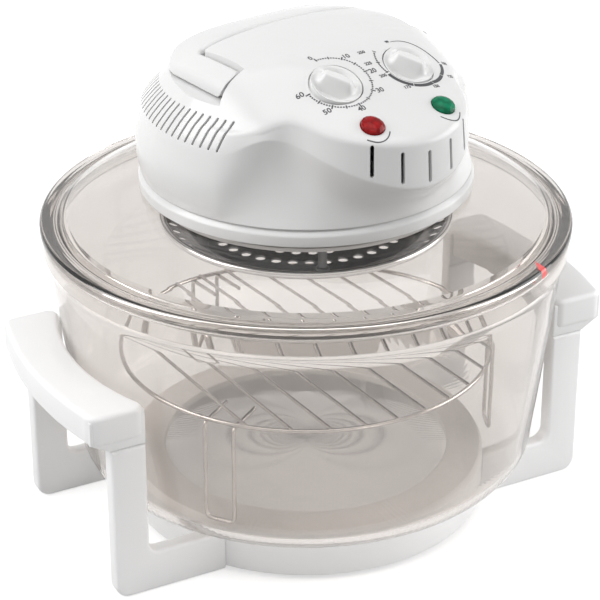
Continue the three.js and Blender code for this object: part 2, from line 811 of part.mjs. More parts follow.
// Head shell. Forward is -Y. The body is round; a shorter-radius nose grows out of
// its front under a tilted control panel, and a ledge runs round the nose's foot.
const bodyHeightShares = [0, 0.12, 0.28, 0.46, 0.57, 0.655];
const bodyRadiusShares = [0.979, 0.996, 1, 0.967, 0.924, 0.878];
const bodyShiftShares = [0, 0, 0, 0.002, 0.028, 0.052];
const crownHeightShares = [0.787, 0.845, 0.902, 0.949, 0.994];
const crownRadiusShares = [0.798, 0.75, 0.673, 0.558, 0.288];
const crownShiftShares = [0.106, 0.125, 0.135, 0.135, 0.115];
const noseProud = 14.9;
const noseBehind = 3.9;
const ledgeDrop = 62.6;
const ledgeRise = 27;
const ledgeHalfAngle = 50;
const ledgeFadeAngle = 68;
const underLedgeHollow = 3;
const noseHalfAngle = 75;
const noseSegmentShare = 0.6;
const noseMeetAngle = 30;
const noseMeetSpan = 24;
const shoulderShare = 0.925;
const ledgeRow = 3;
const panelTilt = 24.6;
const knobBehindLens = 33;
const lensMargin = 20.9;
const panelDrop = 10;
const panelEdgeMargin = 1.4;
const panelCrown = 12;
const panelCrownPower = 3;
const panelEdgeDrop = 3.4;
const panelEdgeInsetShare = 1.6;
const panelEdgeRiseShare = 0.75;
const crownBlendShare = 0.4;
const panelBlend = 2.2;
const bossInset = 13.6;
const bossCount = 4;
const bossAngle = 45;
const bossWall = 3;
const bossHeight = 22;

const noseCentre = (headRadius + noseProud - noseBehind) / 2;
const noseRadius = noseCentre + noseBehind;
const ledgeLow = headHeight - ledgeDrop;
const lensForward = noseCentre + noseRadius - lensMargin;
const panelForward = lensForward - knobBehindLens;
const panelHeight = headHeight - panelDrop;
const panelHalfWidth = noseRadius - panelEdgeMargin;
const panelSlope = Math.tan(radians(panelTilt));
const bossRadius = headRadius - bossInset;

function panelZ(forward, side) {
  const crown = panelCrown * (Math.abs(side) / panelHalfWidth) ** panelCrownPower;
  return headZ + panelHeight - (forward - panelForward) * panelSlope - crown;
}

function softLower(a, b) {
  const k = panelBlend;
  const low = Math.min(a, b);
  return low - k * Math.log(1 + Math.exp(-Math.abs(a - b) / k));
}

function noseReach(angle) {
  const c = noseCentre * Math.cos(angle);
  const s = noseCentre * Math.sin(angle);
  return c + Math.sqrt(noseRadius ** 2 - s ** 2);
}

// One point of the shell: angle from the front, row of the profile, depth under the skin
function shellPoint(angle, row, depth) {
  const degrees = Math.abs(THREE.MathUtils.radToDeg(angle));
  const front = 1 - smooth((degrees - ledgeHalfAngle) / (ledgeFadeAngle - ledgeHalfAngle));
  const lastRow = bodyHeightShares.length - 1;
  const bodyRow = Math.min(row, lastRow);
  const bodyZ = headZ + headHeight * bodyHeightShares[bodyRow];
  const shift = headRadius * bodyShiftShares[bodyRow] * Math.cos(angle);
  const bodyR = headRadius * bodyRadiusShares[bodyRow] + shift;
  const ledge = headZ + ledgeLow + ledgeRise * smooth(degrees / ledgeHalfAngle);
  const footR = headRadius * bodyRadiusShares[0];
  const meet = smooth((degrees - noseMeetAngle) / noseMeetSpan);
  const crestR = THREE.MathUtils.lerp(noseReach(angle), headRadius * shoulderShare, meet);
  const wallR = crestR - panelEdgeDrop / 2;
  const wallZ = panelZ(wallR * Math.cos(angle), wallR * Math.sin(angle)) - panelEdgeDrop;
  const wallTop = Math.max(wallZ, ledge + panelEdgeDrop);
  let frontR = crestR;
  let frontZ = ledge;
  if (row < ledgeRow) {
    const t = row / ledgeRow;
    frontR = THREE.MathUtils.lerp(footR, crestR, t) - underLedgeHollow * Math.sin(Math.PI * t);
    frontZ = THREE.MathUtils.lerp(headZ, ledge, t);
  } else if (row === ledgeRow + 1) {
    frontR = wallR;
    frontZ = wallTop;
  } else if (row > ledgeRow + 1) {
    frontR = crestR - panelEdgeInsetShare * panelEdgeDrop;
    frontZ = wallTop + panelEdgeRiseShare * panelEdgeDrop;
  }
  let r = THREE.MathUtils.lerp(bodyR, frontR, front) - depth;
  let z = THREE.MathUtils.lerp(bodyZ, frontZ, front);
  if (row > lastRow) {
    const k = row - lastRow - 1;
    const share = (crownRadiusShares[k] ?? 0) / bodyRadiusShares[lastRow];
    const shiftK = headRadius * (crownShiftShares[k] ?? 0) * Math.cos(angle);
    const roundR = headRadius * (crownRadiusShares[k] ?? 0) + shiftK;
    r = THREE.MathUtils.lerp(roundR, frontR * share, front) - depth * share;
    const ringZ = headZ + headHeight * (crownHeightShares[k] ?? 1);
    const raisedZ = THREE.MathUtils.lerp(ringZ, headTopZ, front * smooth(2 * share - crownBlendShare));
    z = softLower(raisedZ, panelZ(r * Math.cos(angle), r * Math.sin(angle)));
  }
  if (row >= lastRow) z -= depth;
  if (row === 0) z -= depth;
  return [r * Math.sin(angle), -r * Math.cos(angle), z];
}

// Angles from the front, set closer together where the nose is
function shellAngles(segments) {
  const nose = Math.round(segments * noseSegmentShare);
  const others = segments - nose;
  const half = radians(noseHalfAngle);
  const front = Array.from({ length: nose }, (_, i) => (2 * half * i) / nose - half);
  const back = Array.from({ length: others }, (_, i) => half + ((2 * Math.PI - 2 * half) * i) / others);
  return [...front, ...back];
}

// Rings of points joined from the foot to the crown's middle
function shellBody(depth, segments = bigRound) {
  const rows = bodyHeightShares.length + crownRadiusShares.length;
  const angles = shellAngles(segments);
  const positions = [];
  for (let row = 0; row < rows; row += 1) {
    for (const angle of angles) positions.push(...shellPoint(angle, row, depth));
  }
  const footCentre = positions.length / 3;
  positions.push(0, 0, positions[2]);
  positions.push(...shellPoint(0, rows, depth));
  const index = [];
  for (let i = 0; i < segments; i += 1) {
    const next = (i + 1) % segments;
    for (let row = 0; row < rows - 1; row += 1) {
      const a = row * segments + i;
      const b = row * segments + next;
      index.push(a, b, b + segments, a, b + segments, a + segments);
    }
    const last = (rows - 1) * segments;
    index.push(last + i, last + next, footCentre + 1);
    index.push(next, i, footCentre);
  }
  const geometry = new THREE.BufferGeometry();
  geometry.setAttribute('position', new THREE.Float32BufferAttribute(positions, 3));
  geometry.setIndex(index);
  return solid(geometry);
}

// Carry handle: a bail that lies flush in a recess round the raised middle of the head
const handleInset = 27;
const handleArm = 14.6;
const handleBackInset = 25;
const handleBarWidth = 30;
const handleCorner = 26;
const handleEndRadius = 8.2;
const handlePivotForward = 14.3;
const handleGap = 0.8;
const handleBarGap = 2.8;
const handleSideDrop = 15;
const handleSideReach = 77;
const handleSidePower = 3.7;
const handleBackDrop = 7.7;
const handleBackPower = 2.5;
const handleCornerShare = 0.6;
const fingerInset = 22.4;
const pivotPinRadius = 1.8;
const pivotPinReach = 7;
const pivotPinHead = 2.6;

const handleSide = headRadius - handleInset;
const handleBack = handleSide - handleBackInset;
const pivotZ = handleZ + handleEndRadius;
const handleInner = handleSide - handleArm;
const handleBarInner = handleBack - handleBarWidth;
const fingerWidth = 2 * (handleInner - fingerInset);
const skyZ = headTopZ + headHeight;

function bailOutline() {
  const shape = new THREE.Shape();
  const cornerY = handleBack - handleCorner;
  shape.moveTo(-handleSide, -handlePivotForward);
  shape.lineTo(-handleInner, -handlePivotForward);
  shape.lineTo(-handleInner, handleBarInner);
  shape.lineTo(handleInner, handleBarInner);
  shape.lineTo(handleInner, -handlePivotForward);
  shape.lineTo(handleSide, -handlePivotForward);
  shape.lineTo(handleSide, cornerY);
  shape.absarc(handleSide - handleCorner, cornerY, handleCorner, 0, Math.PI / 2);
  shape.absarc(handleCorner - handleSide, cornerY, handleCorner, Math.PI / 2, Math.PI);
  shape.closePath();
  return shape;
}

// The handle's own top surface, which stays fuller than the head's at its corners
function handleCrown() {
  const width = 2 * handleSide + headRingHeight;
  const depth = 2 * handleBack + headRingHeight;
  const geometry = new THREE.BoxGeometry(width, depth, headHeight, smallRound, tinyRound, 1);
  const places = geometry.attributes.position;
  for (let i = 0; i < places.count; i += 1) {
    const inward = handleSide - Math.abs(places.getX(i));
    const side = Math.max(1 - inward / handleSideReach, 0);
    const behind = Math.max(places.getY(i) + handlePivotForward, 0) / (handleBack + handlePivotForward);
    const drop = handleSideDrop * side ** handleSidePower + handleBackDrop * behind ** handleBackPower;
    places.setZ(i, places.getZ(i) > 0 ? headTopZ - drop : headZ);
  }
  return solid(geometry);
}

function makeHandle() {
  const bail = raised(bailOutline(), handleZ, skyZ);
  const round = post(handleEndRadius, -handleSide, handleSide, smallRound).rotate([0, 90, 0]);
  const ends = round.translate([0, -handlePivotForward, pivotZ]);
  const middle = box([-handleInner, -headRadius, 0], [handleInner, handleBarInner, skyZ]);
  const pin = bore(pivotPinRadius + pivotPlay, -handleInner - pivotPinReach, handleInner + pivotPinReach)
    .rotate([0, 90, 0])
    .translate([0, -handlePivotForward, pivotZ]);
  const body = bail.add(ends.subtract(middle)).intersect(handleCrown()).subtract(pin);
  return piece('carry_handle', body, whitePlastic);
}

function makePivotPins() {
  return standSides.map((side) => {
    const inner = handleInner - handleGap - shellWall - sheet;
    const shank = post(pivotPinRadius, inner, handleInner + pivotPinReach - rest);
    const head = post(pivotPinHead, inner - 2 * sheet, inner + sheet - rest);
    const pin = shank.add(head).rotate([0, 90, 0]).scale([side, 1, 1]);
    const body = pin.translate([0, -handlePivotForward, pivotZ]);
    return piece(side < 0 ? 'pivot_pin_left' : 'pivot_pin_right', body, steel);
  });
}

// The space the handle lies in, grown by play; everything outside the raised middle
function handleRecess(play) {
  const front = handlePivotForward + handleEndRadius + handleGap;
  const middle = handleInner - handleGap;
  const far = 2 * headRadius;
  const shape = new THREE.Shape();
  const lobe = handleArm * handleCornerShare;
  shape.moveTo(middle - play, -front - play);
  shape.lineTo(middle + lobe, -front - play);
  shape.quadraticCurveTo(handleSide + lobe / 2, -front - play, handleSide + lobe, -front - lobe - play);
  shape.lineTo(far, -front - lobe - play);
  shape.lineTo(far, far);
  shape.lineTo(-far, far);
  shape.lineTo(-far, -front - lobe - play);
  shape.lineTo(-handleSide - lobe, -front - lobe - play);
  shape.quadraticCurveTo(-handleSide - lobe / 2, -front - play, -middle - lobe, -front - play);
  shape.lineTo(play - middle, -front - play);
  shape.lineTo(play - middle, handleBarInner - handleBarGap - play);
  shape.lineTo(middle - play, handleBarInner - handleBarGap - play);
  shape.closePath();
  const trough = raised(shape, handleZ - handleGap - play, skyZ);
  const finger = box(
    [-fingerWidth / 2 - play, handleBarInner + play / 2, handleZ - fingerDepth - play],
    [fingerWidth / 2 + play, far, skyZ],
  );
  return trough.add(finger);
}

// Controls on the tilted panel
const knobSpacing = 53;
const knobRadius = 16.6;
const knobWell = 4;
const knobPlay = 0.7;
const knobBarWidth = 8.4;
const knobBarHeight = 9.5;
const knobStem = 3;
const knobDishShare = 0.72;
const knobBarRoundShare = 0.45;
const knobStemShare = 0.4;
const knobStemHoleShare = 0.5;
const knobTurns = [-52, -52];
const lensSpacing = 51.6;
const lensRadius = 7;
const lensProud = 2.2;
const lensRimShare = 0.2;
const lensBevelShare = 0.8;
const lensFaceShare = 0.72;
const timerBlock = 31;
const timerDepth = 22;
const thermostatRadius = 17;
const thermostatDepth = 16;
const lampHolderRadius = 4.6;
const lampHolderDepth = 14;

// Moves a piece modelled upright about Z onto the panel, its foot at the panel's face
function ontoPanel(body, forward, side) {
  const place = new THREE.Matrix4().makeTranslation(side, -forward, panelZ(forward, 0));
  place.multiply(new THREE.Matrix4().makeRotationX(radians(panelTilt)));
  return body.transform(place.elements);
}

function knobPlaces() {
  return standSides.map((side) => [panelForward, (side * knobSpacing) / 2]);
}

function lensPlaces() {
  return standSides.map((side) => [lensForward, (side * lensSpacing) / 2]);
}

function knobBody(turn) {
  const foot = -knobWell + rest;
  const rimZ = -sheet / 2;
  const dish = turned([
    [0, foot],
    [knobRadius - sheet, foot],
    [knobRadius, foot + sheet],
    [knobRadius, rimZ],
    [knobRadius - sheet, rimZ + sheet / 2],
    [knobRadius * knobDishShare, rimZ - sheet],
    [0, rimZ - sheet],
  ], midRound);
  const halfBar = knobBarWidth / 2;
  const shape = new THREE.Shape();
  const reach = knobRadius - 2 * sheet - halfBar;
  shape.absarc(reach, 0, halfBar, -Math.PI / 2, Math.PI / 2);
  shape.absarc(-reach, 0, halfBar, Math.PI / 2, 1.5 * Math.PI);
  const bar = raised(shape, foot, knobBarHeight, halfBar * knobBarRoundShare, 2);
  const stem = post(knobStem, -knobWell - shellWall - timerDepth * knobStemShare, foot + sheet / 2);
  return dish.add(bar).add(stem).rotate([0, 0, turn]);
}

function makeControls() {
  const [timerAt, heatAt] = knobPlaces();
  const deep = -knobWell - shellWall - rest;
  const halfBlock = timerBlock / 2;
  const hole = bore(knobStem + pivotPlay, deep - timerDepth * knobStemHoleShare, deep + rest);
  const timer = box([-halfBlock, -halfBlock, deep - timerDepth], [halfBlock, halfBlock, deep]);
  const thermostat = post(thermostatRadius, deep - thermostatDepth, deep, smallRound);
  const meshes = [
    piece('timer_knob', ontoPanel(knobBody(knobTurns[0]), ...timerAt), whitePlastic),
    piece('thermostat_knob', ontoPanel(knobBody(knobTurns[1]), ...heatAt), whitePlastic),
    piece('timer', ontoPanel(timer.subtract(hole), ...timerAt), blackPlastic),
    piece('thermostat', ontoPanel(thermostat.subtract(hole), ...heatAt), ceramic),
  ];
  lensPlaces().forEach((place, i) => {
    const finish = i === 0 ? redLens : greenLens;
    const name = i === 0 ? 'red_lens' : 'green_lens';
    meshes.push(piece(name, ontoPanel(lensBody(), ...place), finish));
    const holder = post(lampHolderRadius, -shellWall - rest - lampHolderDepth, -shellWall - rest);
    meshes.push(piece(`${name}_lamp`, ontoPanel(holder, ...place), blackPlastic));
  });
  return meshes;
}

function lensBody() {
  return turned([
    [0, -shellWall],
    [lensRadius, -shellWall],
    [lensRadius, lensProud * lensRimShare],
    [lensRadius * lensFaceShare, lensProud * lensBevelShare],
    [0, lensProud],
  ], tinyRound);
}

// Cuts through the shell: five upright slots in the nose and a fan of vents each side
const slotAngle = 17;
const slotWidth = 2.2;
const slotHeight = 19;
const slotAboveLedge = 3;
const slotReach = [-2, -1, 0, 1, 2];
const ventCount = 9;
const ventFirst = 65.5;
const ventStep = 8;
const ventWidth = 2;
const ventLength = 20;
const ventDrop = 37;
const ventInset = 9;
const ventLean = 42;
const ventSkew = -19;
const glandRadius = 6;
const glandHeight = 17;

const ventHeight = headHeight - ventDrop;
const ventRadius = headRadius - ventInset;

function slotCuts() {
  return slotReach.map((k) => {
    const angle = radians(k * slotAngle);
    const side = noseRadius * Math.sin(angle);
    const forward = noseCentre + noseRadius * Math.cos(angle);
    const degrees = THREE.MathUtils.radToDeg(Math.atan2(side, forward));
    const low = headZ + ledgeLow + ledgeRise * smooth(Math.abs(degrees) / ledgeHalfAngle);
    const half = slotWidth / 2;
    const foot = low + slotAboveLedge;
    const cut = box([-half, -2 * shellWall, foot], [half, 2 * shellWall, foot + slotHeight]);
    return cut.rotate([0, 0, k * slotAngle]).translate([side, -forward, 0]);
  });
}

function ventCuts() {
  const half = ventWidth / 2;
  const deep = 2 * shellWall;
  const cut = box([-half, -deep, -ventLength / 2], [half, deep, ventLength / 2])
    .rotate([0, ventSkew, 0])
    .rotate([-ventLean, 0, 0])
    .translate([0, -ventRadius, headZ + ventHeight]);
  const cuts = [];
  for (let i = 0; i < ventCount; i += 1) {
    const angle = ventFirst + i * ventStep;
    cuts.push(cut.rotate([0, 0, angle]));
    cuts.push(cut.scale([-1, 1, 1]).rotate([0, 0, -angle]));
  }
  return cuts;
}

function panelCuts(grow) {
  const cuts = [];
  for (const place of knobPlaces()) {
    const well = bore(knobRadius + knobPlay + grow, -knobWell - grow, 3 * knobWell, midRound);
    cuts.push(ontoPanel(well, ...place));
  }
  for (const place of lensPlaces()) {
    const seat = bore(lensRadius + rest + grow, grow ? -shellWall : -3 * shellWall, knobWell);
    cuts.push(ontoPanel(seat, ...place));
  }
  return cuts;
}

function stemCuts() {
  const hole = bore(knobStem + rest, -2 * knobWell - shellWall, 0);
  return knobPlaces().map((place) => ontoPanel(hole, ...place));
}

function makeShell() {
  const skin = shellBody(0).subtract(handleRecess(0)).subtract(joined(panelCuts(0)));
  const walls = joined([handleRecess(shellWall), ...panelCuts(shellWall)]);
  const floor = box([-2 * headRadius, -2 * headRadius, 0], [2 * headRadius, 2 * headRadius, headZ]);
  const hollow = shellBody(shellWall, midRound).subtract(walls);
  const web = box([0, -bossWall / 2, headZ], [headRadius - bossRadius, bossWall / 2, headZ + bossHeight]);
  const boss = post(boltRadius + bossWall, headZ, headZ + bossHeight, smallRound).add(web);
  const bosses = joined(spread(boss.translate([bossRadius, 0, 0]), bossCount, bossAngle));
  const inside = bosses.intersect(shellBody(shellWall / 2, midRound));
  const hole = bore(boltRadius + screwPlay, headZ - sheet, headZ + bossHeight - bossWall, tinyRound);
  const holes = spread(hole.translate([bossRadius, 0, 0]), bossCount, bossAngle);
  const pins = bore(pivotPinRadius + pivotPlay, -handleSide, handleSide)
    .rotate([0, 90, 0])
    .translate([0, -handlePivotForward, pivotZ]);
  const gland = bore(glandRadius + rest, headRadius / 2, 2 * headRadius)
    .rotate([-90, 0, 0])
    .translate([0, 0, headZ + glandHeight]);
  const shell = skin
    .subtract(hollow)
    .subtract(floor)
    .add(inside)
    .subtract(joined([...holes, ...slotCuts(), ...ventCuts(), ...stemCuts(), pins, gland]));
  return piece('head_shell', shell, whitePlastic);
}

function makeShellScrews() {
  const low = headRingZ + rest;
  const head = post(boltHeadRadius, low, low + boltHeadHeight, tinyRound);
  const shank = post(boltRadius, low + rest, headZ + bossHeight - bossWall - rest, tinyRound);
  const screws = spread(head.add(shank).translate([bossRadius, 0, 0]), bossCount, bossAngle);
  return screws.map((body, i) => piece(`shell_screw_${i + 1}`, body, steel));
}

// Wiring pieces inside the head: handle switch, terminal block and cord gland
const switchSize = [10, 20, 12];
const terminalSize = [26, 12, 14];
const terminalInset = 34.6;
const glandFlange = 9;
const glandLength = 16;

function makeWiring() {
  const [sx, sy, sz] = switchSize;
  const switchTop = handleZ - handleGap - shellWall - rest;
  const safety = box([-sx / 2, -sy / 2, switchTop - sz], [sx / 2, sy / 2, switchTop])
    .translate([handleSide - handleArm / 2, 0, 0]);
  const [tx, ty, tz] = terminalSize;
  const block = box([-tx / 2, -ty / 2, 0], [tx / 2, ty / 2, tz])
    .translate([0, ringInnerRadius - terminalInset, basePlateTopZ + rest]);
  const wallR = headRadius;
  const barrel = post(glandRadius, wallR - glandLength, wallR + shellWall, smallRound);
  const flange = post(glandFlange, wallR + rest, wallR + shellWall, smallRound);
  const gland = barrel.add(flange).rotate([-90, 0, 0]).translate([0, 0, headZ + glandHeight]);
  return [
    piece('safety_switch', safety, blackPlastic),
    piece('terminal_block', block, ceramic),
    piece('cord_gland', gland, whitePlastic),
  ];
}

const stand = new THREE.Group();
stand.add(makeSeatRing(), ...makeLegs(), ...makeGrips());

const lid = new THREE.Group();
lid.add(makeLidGlass(), makeHeadRing(), makeClampRing(), makeSeal(), ...makeClampBolts());
lid.add(makeReflector(), makeLamp(), ...makeLampHolders(), makeGuard(), ...makeGuardPosts());
lid.add(...makeRotor(), makeMotor(), makeMotorBracket(), makeBasePlate());
lid.add(makeShell(), ...makeShellScrews(), makeHandle(), ...makePivotPins(), ...makeControls(), ...makeWiring());
lid.rotation.z = radians(headTurn);

const oven = new THREE.Group();
oven.add(stand, makeBowl(), makeRack(), lid);

export default oven;
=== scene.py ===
import json
import math

import bmesh
import bpy
from mathutils import Matrix, Vector
from mathutils.bvhtree import BVHTree


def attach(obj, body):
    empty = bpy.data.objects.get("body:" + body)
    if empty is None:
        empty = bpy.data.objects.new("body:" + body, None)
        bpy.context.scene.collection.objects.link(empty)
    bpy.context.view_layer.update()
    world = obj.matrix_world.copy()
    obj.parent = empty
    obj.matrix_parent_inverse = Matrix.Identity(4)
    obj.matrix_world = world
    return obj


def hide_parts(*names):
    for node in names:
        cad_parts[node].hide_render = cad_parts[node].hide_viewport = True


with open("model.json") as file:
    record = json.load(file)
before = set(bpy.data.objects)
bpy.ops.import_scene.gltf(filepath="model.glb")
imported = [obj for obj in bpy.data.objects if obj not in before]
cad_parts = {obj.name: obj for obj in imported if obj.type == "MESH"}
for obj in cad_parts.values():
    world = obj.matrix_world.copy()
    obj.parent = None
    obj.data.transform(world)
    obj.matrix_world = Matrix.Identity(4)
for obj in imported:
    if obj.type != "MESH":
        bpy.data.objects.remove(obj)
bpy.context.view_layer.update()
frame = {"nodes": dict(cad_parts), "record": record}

# Lengths below are in millimetres; MM turns them into Blender's metres.
MM = 0.001
FULL_TURN = 2 * math.pi

# How many flat sides stand for a full round: on glass, on rings and on sheet metal.
GLASS_STEPS = 192
RING_STEPS = 160
SHEET_STEPS = 128

# The head is modelled facing the front; HEAD_TURN then turns it on the lid.
HEAD_TURN = Matrix.Rotation(math.radians(9), 4, "Z")
HEAD_Z = 229.5
HEAD_H = 87.0
HEAD_R = 104.0
PANEL_TILT = math.radians(24.6)
SHELL_WALL = 2.6

# The carry handle: its underside's height, its pivot as forward and up, and the radius of its ends.
HANDLE_Z = 294.2
PIVOT = (14.3, 302.4)
HANDLE_END_R = 8.2


def smooth(value):
    """0 to 1 with a soft start and end."""
    t = min(max(value, 0.0), 1.0)
    return t * t * (3 - 2 * t)


def lerp(a, b, t):
    return a + (b - a) * t


def shift(x, y, z):
    return Matrix.Translation(Vector((x, y, z)) * MM)


def turn_by(degrees, axis="Z"):
    return Matrix.Rotation(math.radians(degrees), 4, axis)


def mirror(side_x, side_y=1):
    return Matrix.Diagonal((side_x, side_y, 1, 1))


def circle(radius, z):
    turns = [FULL_TURN * i / RING_STEPS for i in range(RING_STEPS)]
    return [(radius * math.cos(a), radius * math.sin(a), z) for a in turns]


# ---------------------------------------------------------------- mesh tools

def outward(bm):
    """The mesh with every face turned outward."""
    bmesh.ops.recalc_face_normals(bm, faces=bm.faces[:])
    return bm


def mesh_of(bm, name="part"):
    mesh = bpy.data.meshes.new(name)
    bm.to_mesh(mesh)
    bm.free()
    return mesh


def placed(name, data):
    obj = bpy.data.objects.new(name, data)
    bpy.context.scene.collection.objects.link(obj)
    return obj


def rounded(points, steps=5):
    """The outline, rounded where a point carries a radius as its third number."""
    line = []
    for i, point in enumerate(points):
        here = Vector(point[:2])
        if len(point) < 3 or not point[2]:
            line.append(here)
            continue
        before = (Vector(points[i - 1][:2]) - here).normalized()
        after = (Vector(points[(i + 1) % len(points)][:2]) - here).normalized()
        half = before.angle(after) / 2
        centre = here + (before + after).normalized() * (point[2] / math.sin(half))
        start = here + before * (point[2] / math.tan(half)) - centre
        end = here + after * (point[2] / math.tan(half)) - centre
        for k in range(steps + 1):
            line.append(centre + start.lerp(end, k / steps).normalized() * point[2])
    return [(p.x, p.y) for p in line]


def lathe(profile, steps=160, closed=True):
    """A [radius, height] outline turned about the upright axis."""
    bm = bmesh.new()
    ring = [bm.verts.new((r * MM, 0, z * MM)) for r, z in profile]
    pairs = zip(ring, ring[1:] + ring[:1]) if closed else zip(ring, ring[1:])
    edges = [bm.edges.new(pair) for pair in pairs]
    bmesh.ops.spin(bm, geom=ring + edges, cent=(0, 0, 0), axis=(0, 0, 1),
                   angle=FULL_TURN, steps=steps, use_merge=True)
    bmesh.ops.remove_doubles(bm, verts=bm.verts[:], dist=1e-7)
    return outward(bm)


def prism(points, low, high, edge=0.0, segments=3, steps=5):
    """A flat outline raised from low to high, the edges of both its faces rounded."""
    bm = bmesh.new()
    outline = rounded(points, steps)
    face = bm.faces.new([bm.verts.new((x * MM, y * MM, low * MM)) for x, y in outline])
    grown = bmesh.ops.extrude_face_region(bm, geom=[face])["geom"]
    top = [v for v in grown if isinstance(v, bmesh.types.BMVert)]
    bmesh.ops.translate(bm, verts=top, vec=(0, 0, (high - low) * MM))
    outward(bm)
    if edge:
        rims = [e for e in bm.edges if abs(e.verts[0].co.z - e.verts[1].co.z) < 1e-9]
        bmesh.ops.bevel(bm, geom=rims, offset=edge * MM, offset_type="OFFSET", profile=0.5,
                        segments=segments, affect="EDGES", material=-1, clamp_overlap=False)
    return bm


def block(low, high):
    """A box from its lowest to its highest corner."""
    bm = bmesh.new()
    bmesh.ops.create_cube(bm, size=1.0)
    size = [(b - a) * MM for a, b in zip(low, high)]
    middle = [(a + b) / 2 * MM for a, b in zip(low, high)]
    matrix = Matrix.Translation(middle) @ Matrix.Diagonal((*size, 1))
    bmesh.ops.transform(bm, matrix=matrix, verts=bm.verts[:])
    return bm


def drum(radius, low, high, steps=48):
    return lathe([(0, low), (radius, low), (radius, high), (0, high)], steps, closed=False)


def moved(bm, matrix):
    """The mesh moved in place, its faces kept outward where the matrix mirrors it."""
    bmesh.ops.transform(bm, matrix=matrix, verts=bm.verts[:])
    if matrix.determinant() < 0:
        bmesh.ops.reverse_faces(bm, faces=bm.faces[:])
    return bm


def gathered(parts):
    """Several loose meshes as one; the parts are used up."""
    whole = bmesh.new()
    for part in parts:
        mesh = mesh_of(part)
        whole.from_mesh(mesh)
        bpy.data.meshes.remove(mesh)
    return whole


def combined(bm, tool, operation="DIFFERENCE"):
    """One closed solid from two, by a Boolean."""
    made = [placed("part", mesh_of(part)) for part in (bm, tool)]
    cut = made[0].modifiers.new("cut", "BOOLEAN")
    cut.object, cut.operation, cut.solver = made[1], operation, "MANIFOLD"
    bpy.context.view_layer.update()
    result = bmesh.new()
    result.from_object(made[0], bpy.context.evaluated_depsgraph_get())
    for obj in made:
        mesh = obj.data
        bpy.data.objects.remove(obj)
        bpy.data.meshes.remove(mesh)
    return result


def wires(paths, radius, closed=False, resolution=3):
    curve = bpy.data.curves.new("wire", "CURVE")
    curve.dimensions = "3D"
    curve.bevel_depth = radius * MM
    curve.bevel_resolution = resolution
    curve.use_fill_caps = not closed
    for path in paths:
        spline = curve.splines.new("POLY")
        spline.points.add(len(path) - 1)
        for point, place in zip(spline.points, path):
            point.co = (*(Vector(place) * MM), 1)
        spline.use_cyclic_u = closed
    return as_mesh(curve)


def as_mesh(curve):
    obj = placed("line", curve)
    bpy.context.view_layer.update()
    seen = obj.evaluated_get(bpy.context.evaluated_depsgraph_get())
    mesh = bpy.data.meshes.new_from_object(seen)
    bm = bmesh.new()
    bm.from_mesh(mesh)
    bpy.data.objects.remove(obj)
    bpy.data.curves.remove(curve)
    bpy.data.meshes.remove(mesh)
    bmesh.ops.remove_doubles(bm, verts=bm.verts[:], dist=1e-7)
    return bm


def piece(name, bm, body, slot, finish=None, replaces=(), sharp=32):
    """The finished object, on its body, in place of the CAD nodes it replaces."""
    mesh = mesh_of(bm, name)
    mesh.materials.append(finish or FINISH[slot])
    mesh.shade_smooth()
    mesh.set_sharp_from_angle(angle=math.radians(sharp))
    obj = placed(name, mesh)
    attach(obj, body)
    if replaces:
        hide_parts(*replaces)


# ---------------------------------------------------------------- materials

def fill(tree, node, inputs):
    """Each input of a node either linked or given a value."""
    for key, value in inputs.items():
        if isinstance(value, bpy.types.NodeSocket):
            tree.links.new(value, node.inputs[key])
        else:
            node.inputs[key].default_value = value


def add(tree, kind, inputs=None, **settings):
    made = tree.nodes.new("ShaderNode" + kind)
    for key, value in settings.items():
        setattr(made, key, value)
    fill(tree, made, inputs or {})
    return made


def effect(name, inputs, outputs):
    """An empty node group with its sockets, and its ends."""
    tree = bpy.data.node_groups.new(name, "ShaderNodeTree")
    for label, default in inputs.items():
        socket = tree.interface.new_socket(label, in_out="INPUT", socket_type="NodeSocketFloat")
        socket.default_value = default
    for label in outputs:
        tree.interface.new_socket(label, in_out="OUTPUT", socket_type="NodeSocketFloat")
    return tree, tree.nodes.new("NodeGroupInput"), tree.nodes.new("NodeGroupOutput")


def calc(tree, operation, first, second=0.5):
    return add(tree, "Math", {0: first, 1: second}, operation=operation).outputs[0]


def ranged(tree, value, low, high, start=0.0, end=1.0):
    """A value that runs from start to end, spread over low to high."""
    return add(tree, "MapRange", {"Value": value, "From Min": start, "From Max": end,
                                  "To Min": low, "To Max": high}).outputs["Result"]


def moulded_effect():
    """Moulded surface: a slow drift of shade, a fine grain and handling smudges."""
    tree, start, end = effect(
        "Moulded surface", {"Drift size": 20.0, "Grain size": 1200.0, "Smudge size": 45.0},
        ("Drift", "Grain", "Smudge"))
    place = add(tree, "TexCoord").outputs["Object"]
    drift = add(tree, "TexNoise", {
        "Vector": place, "Scale": start.outputs["Drift size"], "Detail": 3.0, "Roughness": 0.5})
    grain = add(tree, "TexNoise", {
        "Vector": place, "Scale": start.outputs["Grain size"], "Detail": 4.0, "Roughness": 0.6})
    smudge = add(tree, "TexNoise", {
        "Vector": place, "Scale": start.outputs["Smudge size"], "Detail": 6.0, "Roughness": 0.65,
        "Distortion": 0.8})
    spread = ranged(tree, smudge.outputs["Fac"], 0.0, 1.0, 0.42, 0.68)
    fill(tree, end, {"Drift": drift.outputs["Fac"], "Grain": grain.outputs["Fac"],
                     "Smudge": spread})
    return tree


